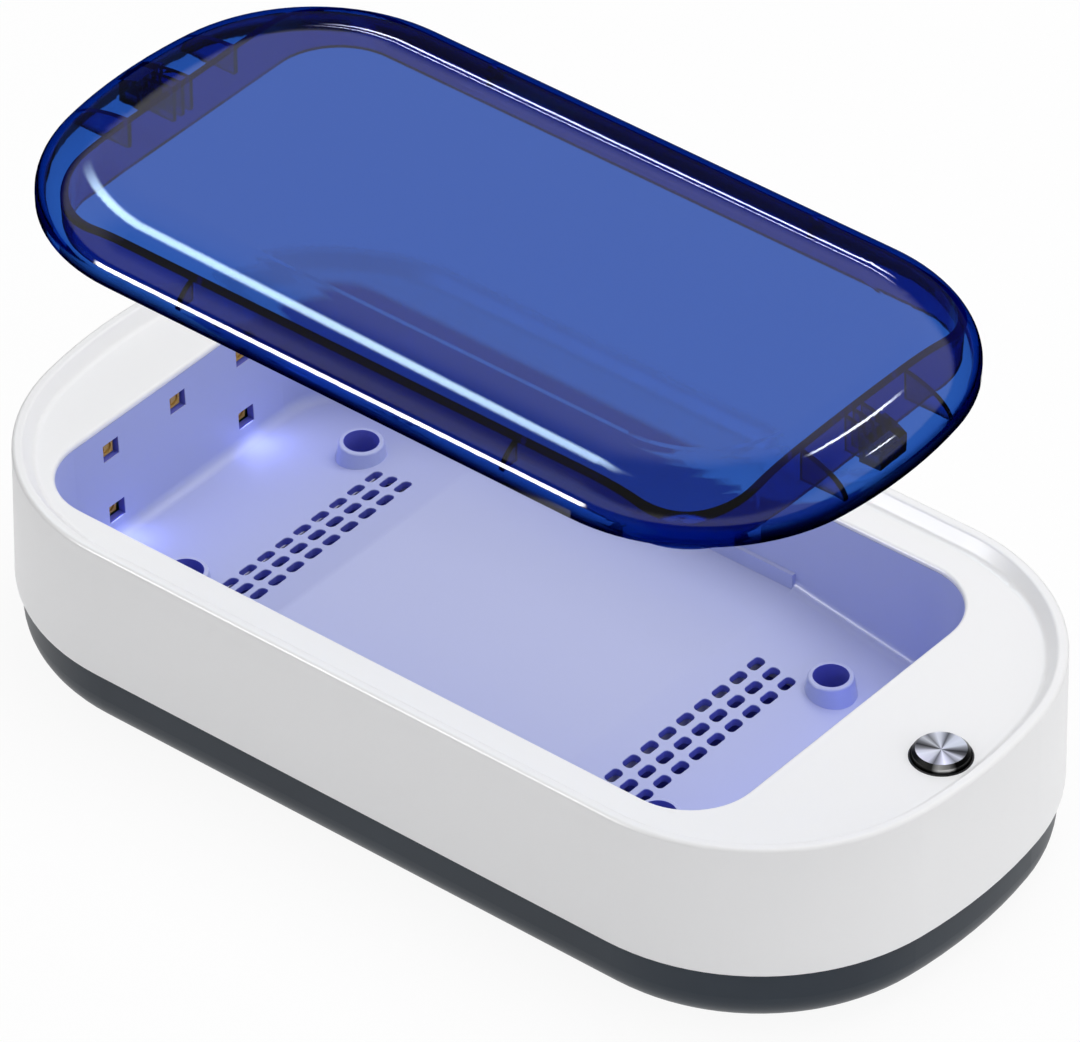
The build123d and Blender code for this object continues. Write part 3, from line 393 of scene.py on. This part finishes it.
def spun_aluminium():
    material, tree, shader, coordinates = new_material("spun aluminium, clear anodised")
    centred = add(tree, "ShaderNodeMapping", {"Vector": coordinates})
    centred.inputs["Location"].default_value = (-button_x, 0, 0)
    angle = add(tree, "ShaderNodeTexGradient", {"Vector": centred.outputs["Vector"]}, gradient_type="RADIAL")
    normal = tree.nodes.new("ShaderNodeNewGeometry").outputs["Normal"]
    facing = add(tree, "ShaderNodeSeparateXYZ", {"Vector": normal})
    upward = add(tree, "ShaderNodeMath", {0: facing.outputs["Z"]}, operation="GREATER_THAN")
    upward.inputs[1].default_value = FACES_UP
    # the painted reflections set the metal's base colour
    side = add(tree, "ShaderNodeValToRGB", {"Fac": angle.outputs["Fac"]}, stops=SIDE_PAINTED_REFLECTION)
    face = add(tree, "ShaderNodeValToRGB", {"Fac": angle.outputs["Fac"]}, stops=FACE_PAINTED_REFLECTION)
    mixed = add(tree, "ShaderNodeMix", data_type="RGBA")
    tree.links.new(upward.outputs["Value"], mixed.inputs["Factor"])
    tree.links.new(side.outputs["Color"], mixed.inputs["A"])
    tree.links.new(face.outputs["Color"], mixed.inputs["B"])
    tree.links.new(mixed.outputs["Result"], shader.inputs["Base Color"])
    rings = add(tree, "ShaderNodeTexWave", {"Vector": centred.outputs["Vector"]}, wave_type="RINGS",
                rings_direction="Z", Scale=WAVE_PERIOD / RING_PITCH)
    bump = add(tree, "ShaderNodeBump", {"Height": rings.outputs["Fac"]}, Distance=RING_DEPTH, Strength=1.0)
    tree.links.new(bump.outputs["Normal"], shader.inputs["Normal"])
    shader.inputs["Metallic"].default_value = 1.0
    shader.inputs["Roughness"].default_value = 0.3
    return material


dress(spun_aluminium(), "button_cap")

# %% [markdown]
# ### The rest of the parts
# Most other parts sit inside, and are glimpsed through a window or a slot, or stand in the open only as a
# rim, a socket or a foot. They still get their own finish: plated and anodised metal, plain steel, solder
# mask, moulded epoxy, copper, ferrite, felt, rubber, wire sleeving and ceramic. Two colours are painted
# light: the tray screws' steel carries the UV lamps' painted violet glow, and the felt pads' deep blue is the
# painted shade and glow seen down the slots. One function makes them all, because at this size they differ
# in tone, gloss and grain only.

# %% Inner parts
TONE_SPREAD = 0.1
GRAINS_PER_SPECK = 4


def plain(name, colour, roughness, metallic=0.0, size=0.3 * MM, height=0.004 * MM):
    """A one-colour material whose tone and surface vary a little, at the size of its grain."""
    material, tree, shader, coordinates = new_material(name)
    speck = add(tree, "ShaderNodeTexNoise", {"Vector": coordinates}, Scale=1 / (GRAINS_PER_SPECK * size),
                Detail=4.0)
    tone = add(tree, "ShaderNodeHueSaturation", Color=linear(colour))
    value = add(tree, "ShaderNodeMapRange", {"Value": speck.outputs["Fac"]})
    value.inputs["To Min"].default_value = 1 - TONE_SPREAD
    value.inputs["To Max"].default_value = 1 + TONE_SPREAD
    tree.links.new(value.outputs["Result"], tone.inputs["Value"])
    tree.links.new(tone.outputs["Color"], shader.inputs["Base Color"])
    shader.inputs["Roughness"].default_value = roughness
    shader.inputs["Metallic"].default_value = metallic
    bump = grain(tree, coordinates, size, height)
    tree.links.new(bump.outputs["Normal"], shader.inputs["Normal"])
    return material


plated_steel = plain("nickel-plated steel", "#A9AAAE", 0.28, metallic=1.0)
# painted light: the tray screws are plain steel, coloured with the UV lamps' painted violet glow
steel_painted_violet_glow = plain("plain steel, painted violet glow", "#7176DC", 0.5)
black_anodised = plain("black anodised aluminium", "#2A2A2C", 0.3, metallic=0.4)
magnet_plate = plain("nickel-plated magnet", "#C9C9CC", 0.5, metallic=0.4)
solder_mask = plain("circuit board, green solder mask", "#1E5A34", 0.35)
epoxy = plain("moulded epoxy, black", "#1B1B1D", 0.5)
copper = plain("enamelled copper", "#B4622F", 0.3, metallic=1.0)
ferrite = plain("sintered ferrite", "#2C2C2E", 0.6)
# painted shade: the pads' deep blue is the shade and violet glow seen down the slots
felt = plain("pressed felt, painted slot shade", "#2B2F8F", 0.95, size=0.4 * MM, height=0.1 * MM)
rubber = plain("moulded rubber, black", "#151517", 0.7)
sleeving = plain("wire sleeving, red", "#A22A25", 0.45)
ceramic = plain("glazed ceramic, yellow", "#C8A050", 0.3)

dress(plated_steel, "usb_socket", "case_screws", "board_screws")
dress(black_anodised, "button_bezel")
dress(magnet_plate, "lid_magnet_left", "lid_magnet_right")
dress(solder_mask, "main_board", "switch_board", "uv_board_left", "uv_board_right", "lid_sensor_left",
      "lid_sensor_right")
dress(epoxy, "board_components", "tact_switch")
dress(copper, "charging_coil", "coil_leads")
dress(ferrite, "coil_shield")
dress(felt, "fragrance_pad_left", "fragrance_pad_right")
dress(rubber, "rubber_feet")
dress(sleeving, "button_lead", "led_lead_left", "led_lead_right")
dress(ceramic, "uv_leds_left", "uv_leds_right")

# %% [markdown]
# ## Small pieces
# ### The button's spring
# A compression spring under the cap pushes it back up. It is wound from round steel wire on a mandrel. A
# Screw modifier winds it the same way: it carries one circle of wire round the axis, and up by one pitch
# each turn. The two cut ends are then closed. The CAD spring can't shorten, so the wound one replaces it.

# %% Button spring
SPRING_WIRE = 0.7 * MM
SPRING_TURNS = 4
WIRE_SIDES, STEPS_PER_TURN = 14, 40


def close_ends():
    """In object mode, closes the open ends of the active piece and turns its faces outwards."""
    bpy.ops.object.mode_set(mode="EDIT")
    bpy.ops.mesh.select_all(action="SELECT")
    bpy.ops.mesh.fill_holes(sides=0)
    bpy.ops.mesh.normals_make_consistent(inside=False)
    bpy.ops.object.mode_set(mode="OBJECT")


def wound_spring():
    low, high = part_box("button_spring")
    middle = (low + high) / 2
    climb = high.z - low.z - SPRING_WIRE
    coil_radius = (high.x - low.x - SPRING_WIRE) / 2
    bpy.ops.object.select_all(action="DESELECT")
    bpy.ops.mesh.primitive_circle_add(vertices=WIRE_SIDES, radius=SPRING_WIRE / 2,
                                      rotation=(math.pi / 2, 0, 0), location=(coil_radius, 0, 0))
    spring = bpy.context.object
    spring.name = "wound_spring"
    bpy.ops.object.transform_apply(location=True, rotation=True, scale=True)
    winding = spring.modifiers.new("winding", "SCREW")
    winding.iterations = SPRING_TURNS
    winding.screw_offset = climb / SPRING_TURNS
    winding.steps = winding.render_steps = STEPS_PER_TURN
    bpy.ops.object.modifier_apply(modifier=winding.name)
    close_ends()
    spring.location = (middle.x, middle.y, low.z + SPRING_WIRE / 2)
    bpy.ops.object.transform_apply(location=True, rotation=True, scale=True)
    bpy.ops.object.shade_smooth_by_angle(angle=math.radians(40))
    dress(plated_steel, spring)
    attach(spring, "base")
    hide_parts("button_spring")
    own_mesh(spring)
    print("spring:", SPRING_TURNS, "turns,", round((high.z - low.z) / MM, 2), "mm long")


wound_spring()

# %% [markdown]
# ### The screwdriver's bit
# A pan-head self-tapping screw sits at the bottom of each of the four wells, and only its head shows. The
# recess in the head is punched by a cross-shaped bit. The bit is modelled here and cut out of the head
# later, because a cross is easier to draw as a solid than as a hollow: a cube's four sides are pushed out
# into arms, and its lower face is made smaller.

# %% Cross bit
CROSS_WIDTH, CROSS_SPAN, CROSS_DEPTH = 0.8 * MM, 3.2 * MM, 1.3 * MM
CROSS_TAPER = 0.6


def pick_faces(piece, wanted):
    """In edit mode, selects only the faces that pass this test."""
    bpy.ops.mesh.select_all(action="DESELECT")
    mesh = bmesh.from_edit_mesh(piece.data)
    for face in filter(wanted, mesh.faces):
        face.select_set(True)
    bmesh.update_edit_mesh(piece.data)


def cross_bit():
    """The driver's bit: a cross that tapers downwards from the origin's level."""
    bpy.ops.object.select_all(action="DESELECT")
    bpy.ops.mesh.primitive_cube_add(size=CROSS_WIDTH)
    bit = bpy.context.object
    bpy.ops.object.mode_set(mode="EDIT")
    bpy.ops.transform.resize(value=(1, 1, 2 * CROSS_DEPTH / CROSS_WIDTH), center_override=(0, 0, 0))
    pick_faces(bit, lambda face: abs(face.normal.z) < 0.5)
    bpy.ops.mesh.extrude_faces_move(TRANSFORM_OT_shrink_fatten={"value": (CROSS_SPAN - CROSS_WIDTH) / 2})
    pick_faces(bit, lambda face: face.normal.z < -0.5)
    bpy.ops.transform.resize(value=(CROSS_TAPER, CROSS_TAPER, 1), center_override=(0, 0, 0))
    bpy.ops.object.mode_set(mode="OBJECT")
    return bit


print("cross bit:", round(CROSS_SPAN / MM, 1), "mm across,", round(CROSS_DEPTH / MM, 1), "mm deep")

# %% [markdown]
# ### The screw's thread
# The thread is rolled into the shank, and is one ridge that winds from under the head to the point. A bump
# would do for a machine screw, but a self-tapping thread is coarse enough to stand out of the outline. So a
# triangle is wound round the shank by a Screw modifier, as the spring's wire was.

# %% Thread ridge
SHANK_CORE, THREAD_CREST, THREAD_PITCH = 2.2 * MM, 2.9 * MM, 1.3 * MM
STEPS_PER_THREAD = 20


def thread_ridge(low, high):
    """A three-sided ridge wound round the shank, from one height to another."""
    bpy.ops.object.select_all(action="DESELECT")
    depth = (THREAD_CREST - SHANK_CORE) / 2
    radius = depth / 1.5           # a triangle of three equal sides is one and a half times this deep
    bpy.ops.mesh.primitive_circle_add(vertices=3, radius=radius, rotation=(math.pi / 2, math.pi / 2, 0),
                                      location=(THREAD_CREST / 2 - radius, 0, low))
    ridge = bpy.context.object
    bpy.ops.object.transform_apply(location=True, rotation=True, scale=True)
    rolled = ridge.modifiers.new("rolled", "SCREW")
    rolled.iterations = int((high - low) / THREAD_PITCH)
    rolled.screw_offset = THREAD_PITCH
    rolled.steps = rolled.render_steps = STEPS_PER_THREAD
    bpy.ops.object.modifier_apply(modifier=rolled.name)
    close_ends()
    return ridge


print("thread:", round(THREAD_CREST / MM, 1), "mm across its crest, pitch", round(THREAD_PITCH / MM, 1), "mm")

# %% [markdown]
# ### The tray's screws
# The blank is turned, so it starts as a cylinder as wide as the head: the top edge is rounded with a bevel,
# and the shank is drawn out of the lower face down to a point. The bit is then cut out with a Boolean
# modifier, and the thread joined on. One screw is modelled, and each of the four wells gets a copy with its
# own mesh.

# %% Tray screws
SCREW_HEAD, HEAD_HEIGHT, HEAD_ROUNDING = 5.6 * MM, 2.2 * MM, 0.8 * MM
POINT_SHARE = 0.15                 # the point's width, as a share of the shank's


def turned_blank(length):
    """A screw without its recess or thread, with the top of its head at the origin, pointing down."""
    bpy.ops.object.select_all(action="DESELECT")
    bpy.ops.mesh.primitive_cylinder_add(vertices=40, radius=SCREW_HEAD / 2, depth=HEAD_HEIGHT,
                                        location=(0, 0, -HEAD_HEIGHT / 2))
    blank = bpy.context.object
    bpy.ops.object.transform_apply(location=True, rotation=True, scale=True)
    bpy.ops.object.mode_set(mode="EDIT")
    pick_faces(blank, lambda face: face.normal.z > 0.9)
    bpy.ops.mesh.bevel(offset=HEAD_ROUNDING, segments=5)
    pick_faces(blank, lambda face: face.normal.z < -0.9)
    bpy.ops.mesh.inset(thickness=(SCREW_HEAD - SHANK_CORE) / 2)
    shank = (0, 0, HEAD_HEIGHT + SHANK_CORE - length)
    bpy.ops.mesh.extrude_region_move(TRANSFORM_OT_translate={"value": shank})
    bpy.ops.mesh.extrude_region_move(TRANSFORM_OT_translate={"value": (0, 0, -SHANK_CORE)})
    bpy.ops.transform.resize(value=(POINT_SHARE, POINT_SHARE, 1), center_override=(0, 0, -length))
    bpy.ops.object.mode_set(mode="OBJECT")
    return blank


def pan_head_screw(length):
    blank = turned_blank(length)
    bit = cross_bit()
    punched = blank.modifiers.new("punched", "BOOLEAN")
    punched.object = bit
    bpy.context.view_layer.objects.active = blank
    bpy.ops.object.modifier_apply(modifier=punched.name)
    bpy.data.objects.remove(bit)
    ridge = thread_ridge(-length + SHANK_CORE, -HEAD_HEIGHT - THREAD_PITCH)
    bpy.ops.object.select_all(action="DESELECT")
    ridge.select_set(True)
    blank.select_set(True)
    bpy.context.view_layer.objects.active = blank
    bpy.ops.object.join()
    bpy.ops.object.shade_smooth_by_angle(angle=math.radians(30))
    return blank


def tray_screws():
    low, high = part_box("tray_screws")
    model = pan_head_screw(high.z - low.z)
    corners = [(side, edge) for side in (-1, 1) for edge in (-1, 1)]
    for number, (side, edge) in enumerate(corners, start=1):
        screw = bpy.data.objects.new(f"tray_screw_{number}", model.data.copy())
        bpy.context.collection.objects.link(screw)
        screw.location = (well_x + side * BOSS_OFFSET[0], edge * BOSS_OFFSET[1], high.z)
        bpy.ops.object.select_all(action="DESELECT")
        screw.select_set(True)
        bpy.context.view_layer.objects.active = screw
        bpy.ops.object.transform_apply(location=True, rotation=True, scale=True)
        # painted violet glow on the screw's plain steel
        dress(steel_painted_violet_glow, screw)
        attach(screw, "base")
        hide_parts("tray_screws")
    print("tray screws:", len(corners), "each", round((high.z - low.z) / MM, 1), "mm long,",
          len(model.data.polygons), "faces")
    bpy.data.objects.remove(model)


tray_screws()

# %% [markdown]
# ## The studio
# ### The floor
# The floor is a sheet of white paper, big enough to have no edge in view. Rays that see it directly, from
# the camera or by way of metal or the clear lid, find it glowing almost white, and the little of its own
# shading that is left keeps the box's shadow. The glow is for those rays alone: it could light the box too,
# but then the pale housing would wash out.

# %% Paper floor
PAPER_GLOW = 0.92
PAPER_SIZE = 12
PAPER_DROP = 0.02 * MM             # just below the feet, so that the two faces don't share one plane


def seen_directly(tree, *kinds):
    """1 for a ray of one of these kinds, such as "Camera"."""
    path = tree.nodes.new("ShaderNodeLightPath")
    return join(tree, "MAXIMUM", *(path.outputs[f"Is {kind} Ray"] for kind in kinds))


def pale_floor():
    bpy.ops.object.select_all(action="DESELECT")
    bpy.ops.mesh.primitive_plane_add(size=PAPER_SIZE, location=(0, 0, -PAPER_DROP))
    floor = bpy.context.object
    floor.name = "floor"
    material, tree, shader, _ = new_material("white paper sweep")
    shader.inputs["Base Color"].default_value = linear("#F4F4F5")
    shader.inputs["Roughness"].default_value = 0.9
    shader.inputs["Specular IOR Level"].default_value = 0.1
    seen = seen_directly(tree, "Camera", "Glossy", "Transmission")
    share = add(tree, "ShaderNodeMath", {0: seen}, operation="MULTIPLY")
    share.inputs[1].default_value = PAPER_GLOW
    white = tree.nodes.new("ShaderNodeEmission")
    blended = add(tree, "ShaderNodeMixShader", {0: share.outputs["Value"], 1: shader.outputs["BSDF"],
                                                2: white.outputs["Emission"]})
    tree.links.new(blended.outputs["Shader"], tree.nodes["Material Output"].inputs["Surface"])
    floor.data.materials.append(material)
    print("floor:", PAPER_SIZE, "m square")


pale_floor()

# %% [markdown]
# ### The sky
# The world is an even white fill from all round, which shows the box's shape with soft shading alone. Seen
# directly or through the lid it is plain white. What shiny faces mirror is different: a soft white band
# half-way up, with the dim studio above and below it. An even sky would leave the lid and the button flat.

# %% World
FILL = 0.56
MIRRORED_SKY = [(0.0, 0.04), (0.47, 0.04), (0.54, 0.85), (0.72, 0.85), (0.86, 0.2), (1.0, 0.2)]


def studio_world():
    world = bpy.data.worlds.new("white studio")
    world.use_nodes = True
    bpy.context.scene.world = world
    tree = world.node_tree
    background = tree.nodes["Background"]
    background.inputs["Color"].default_value = (1, 1, 1, 1)
    direction = tree.nodes.new("ShaderNodeTexCoord").outputs["Generated"]
    height = add(tree, "ShaderNodeSeparateXYZ", {"Vector": direction})
    mirrored = add(tree, "ShaderNodeValToRGB", {"Fac": height.outputs["Z"]}, stops=MIRRORED_SKY)
    mirrored.color_ramp.interpolation = "EASE"
    direct = add(tree, "ShaderNodeMix", {"Factor": seen_directly(tree, "Camera", "Transmission")})
    direct.inputs["A"].default_value = FILL
    direct.inputs["B"].default_value = 1.0
    strength = add(tree, "ShaderNodeMix", {"Factor": seen_directly(tree, "Glossy"),
                                           "A": direct.outputs["Result"], "B": mirrored.outputs["Color"]})
    tree.links.new(strength.outputs["Result"], background.inputs["Strength"])
    print("world: fill", FILL, "with", len(MIRRORED_SKY), "stops in the mirrored sky")


studio_world()

# %% [markdown]
# ### The black flag
# A clear moulding on white needs a dark outline. A studio gets one by standing black cards, called flags, just
# out of view, and here an open cylinder of black velvet stands round the box. Only mirrored rays find it, so
# it casts no shadow and hides nothing.

# %% Black flag
FLAG_RADIUS = 0.17
FLAG_HEIGHT = 0.12


def black_flag():
    bpy.ops.object.select_all(action="DESELECT")
    bpy.ops.mesh.primitive_cylinder_add(vertices=96, radius=FLAG_RADIUS, depth=FLAG_HEIGHT,
                                        end_fill_type="NOTHING", location=(0, 0, FLAG_HEIGHT / 2))
    flag = bpy.context.object
    flag.name = "black_flag"
    material, _, shader, _ = new_material("black velvet")
    shader.inputs["Base Color"].default_value = (0, 0, 0, 1)
    shader.inputs["Specular IOR Level"].default_value = 0.0
    flag.data.materials.append(material)
    flag.visible_camera = False
    flag.visible_diffuse = False
    flag.visible_transmission = False
    flag.visible_shadow = False
    print("flag:", FLAG_RADIUS, "m radius,", FLAG_HEIGHT, "m high")


black_flag()

# %% [markdown]
# ### Lamps
# Two broad lamps shape the white box: one overhead and a little behind, so the deck is the lightest face and
# the long front wall the darkest, and one at the button end. The lid gets lamps of its own, most of them
# narrow strips, each placed where a shoulder mirrors it towards the camera, and seen by mirrored rays alone.
# A strip's glow fades towards its edges, because a plain area lamp would leave a streak with hard ends.

# %% Lamp helpers
LAMP_DISTANCE = 1.4
BY_CHAMBER = (-0.01, 0, 0.1)       # where a lamp points unless it is told otherwise


def soften(data, share):
    """Fades an area lamp's glow towards its edges, over this share of its size."""
    data.use_nodes = True
    tree = data.node_tree
    place = tree.nodes.new("ShaderNodeNewGeometry").outputs["Parametric"]
    centred = add(tree, "ShaderNodeVectorMath", {0: place}, operation="SUBTRACT")
    centred.inputs[1].default_value = (0.5, 0.5, 0)
    off = add(tree, "ShaderNodeVectorMath", {0: centred.outputs["Vector"]}, operation="ABSOLUTE")
    axes = add(tree, "ShaderNodeSeparateXYZ", {"Vector": off.outputs["Vector"]})
    glows = []
    for axis in ("X", "Y"):
        edge = add(tree, "ShaderNodeMapRange", {"Value": axes.outputs[axis]},
                   interpolation_type="SMOOTHSTEP")
        edge.inputs["From Min"].default_value = 0.5
        edge.inputs["From Max"].default_value = 0.5 - share
        glows.append(edge.outputs["Result"])
    tree.links.new(join(tree, "MULTIPLY", *glows), tree.nodes["Emission"].inputs["Strength"])


def strip(name, direction, along, size, power, colour="#FFFFFF", aim=BY_CHAMBER, soft=0.0):
    """A rectangular lamp that looks back at aim from a direction, with its length turned along a vector."""
    data = bpy.data.lights.new(name, "AREA")
    data.shape = "RECTANGLE"
    data.size, data.size_y = size
    data.energy = power
    data.color = linear(colour)[:3]
    lamp = bpy.data.objects.new(name, data)
    bpy.context.collection.objects.link(lamp)
    backward = Vector(direction).normalized()
    sideways = (Vector(along) - backward * backward.dot(Vector(along))).normalized()
    lamp.matrix_world = Matrix((sideways, backward.cross(sideways), backward)).transposed().to_4x4()
    lamp.location = Vector(aim) + backward * LAMP_DISTANCE
    if soft:
        soften(data, soft)
    print(f"lamp {name}: {power} W")
    return lamp


# %% [markdown]
# #### Where the lamps stand
# A lamp shows in the face whose normal lies half-way between the lamp and the camera, and that tells where
# each of the lid's lamps goes. The aim is then moved until the streak lies along its shoulder.

# %% Broad lamps and streaks
broad_lamps = [
    strip("overhead", (0.15, 0.3, 1), (1, 0, 0), (1.0, 1.0), 9.8),
    strip("end", (1, 0.1, 0.35), (0, 1, 0), (0.8, 0.8), 2.1),
]
for lamp in broad_lamps:
    lamp.visible_glossy = False
    lamp.visible_transmission = False

streaks = [
    strip("front shoulder", (-0.58, 0.25, 0.78), (-0.24, 0.19, -0.29), (1.0, 0.15), 9.5, "#C8E8FF",
          soft=0.35),
    strip("front edge", (-0.498, -0.838, 0.21), (1, 0, 0), (0.6, 0.4), 32, soft=0.2),
    strip("back shoulder low", (-0.498, 0.758, 0.42), (1, 0, 0), (0.4, 0.03), 0.9, "#D8D8FF", soft=0.2),
    strip("back shoulder high", (-0.498, 0.73, 0.47), (1, 0, 0), (0.4, 0.012), 0.35, "#D8D8FF", soft=0.2),
    strip("end shoulder high", (-0.125, 0.613, 0.78), (0, 1, 0), (0.26, 0.05), 1.2, "#E8F0FF",
          aim=(0.085, 0.004, 0.112), soft=0.3),
    strip("end shoulder low", (0.33, 0.61, 0.72), (0, 1, 0), (0.14, 0.06), 0.8, "#E8F0FF",
          aim=(0.091, -0.012, 0.109), soft=0.3),
]
for lamp in streaks:
    lamp.visible_diffuse = False
    lamp.visible_transmission = False

# %% [markdown]
# ### The UV lamps
# Each window in the end walls holds a small UV lamp. What shows of it is a violet glow that spreads over the
# opposite wall and lies along the ramp in front of it. The diodes could be made to glow, but a tiny area lamp
# just inside each window gives the same spread with far less noise. The area lamps stay unseen.

# %% UV lamps
UV_COLOUR = "#A4AEFF"
UV_FACE = 3 * MM
UV_INSET = 0.5 * MM                # from the end wall's face into the chamber
UPPER_ROW = (7.5 * MM, (-21.0 * MM, 0, 21.0 * MM), 0.0008, 0, 180)     # depth, places, watts, tilt, spread
LOWER_ROW = (23.1 * MM, (-20.5 * MM, 20.5 * MM), 0.0007, 30, 150)


def uv_lamp(power, spread):
    data = bpy.data.lights.new("uv lamp", "AREA")
    data.size = UV_FACE
    data.energy = power
    data.color = linear(UV_COLOUR)[:3]
    data.spread = math.radians(spread)
    lamp = bpy.data.objects.new("uv lamp", data)
    bpy.context.collection.objects.link(lamp)
    lamp.visible_camera = False
    lamp.visible_glossy = False
    lamp.visible_transmission = False
    return lamp


def uv_lamps():
    lamps = 0
    for side in (-1, 1):
        for depth, places, power, tilt, spread in (UPPER_ROW, LOWER_ROW):
            from_middle = MOUTH_HALF - depth * WALL_DRAFT - UV_INSET
            for y in places:
                lamp = uv_lamp(power, spread)
                lamp.location = (well_x + side * from_middle, y, deck - depth)
                lamp.rotation_euler = (0, side * math.radians(90 - tilt), 0)
                lamps += 1
    print("uv lamps:", lamps)


uv_lamps()

# %% [markdown]
# ## The camera
# A long lens from far off keeps the box's long edges almost parallel. The camera looks at a point by the
# middle of the deck, from the front right and well above. A direction made from two angles is easier to read
# than a rotation, so the camera is placed along it and then turned to look back.

# %% Camera
AZIMUTH, ELEVATION = 39.118, 37.847
LOOK_AT = Vector((-5.4 * MM, 8.61 * MM, 44.7 * MM))
DISTANCE = 2.1147
LENS = 348.3


def product_camera():
    azimuth, elevation = math.radians(AZIMUTH), math.radians(ELEVATION)
    back = Vector((math.sin(azimuth) * math.cos(elevation), -math.cos(azimuth) * math.cos(elevation),
                   math.sin(elevation)))
    data = bpy.data.cameras.new("product camera")
    data.sensor_width = 36
    data.lens = LENS
    data.clip_end = 50
    camera = bpy.data.objects.new("product camera", data)
    bpy.context.collection.objects.link(camera)
    camera.location = LOOK_AT + back * DISTANCE
    camera.rotation_mode = "QUATERNION"
    camera.rotation_quaternion = (-back).to_track_quat("-Z", "Y")
    bpy.context.scene.camera = camera
    print("camera at", [round(v, 3) for v in camera.location], "with a", LENS, "mm lens")


product_camera()

# %% [markdown]
# ## Finish
# The Standard view shows each colour as it was written.

# %% Finish
bpy.context.scene.view_settings.view_transform = "Standard"
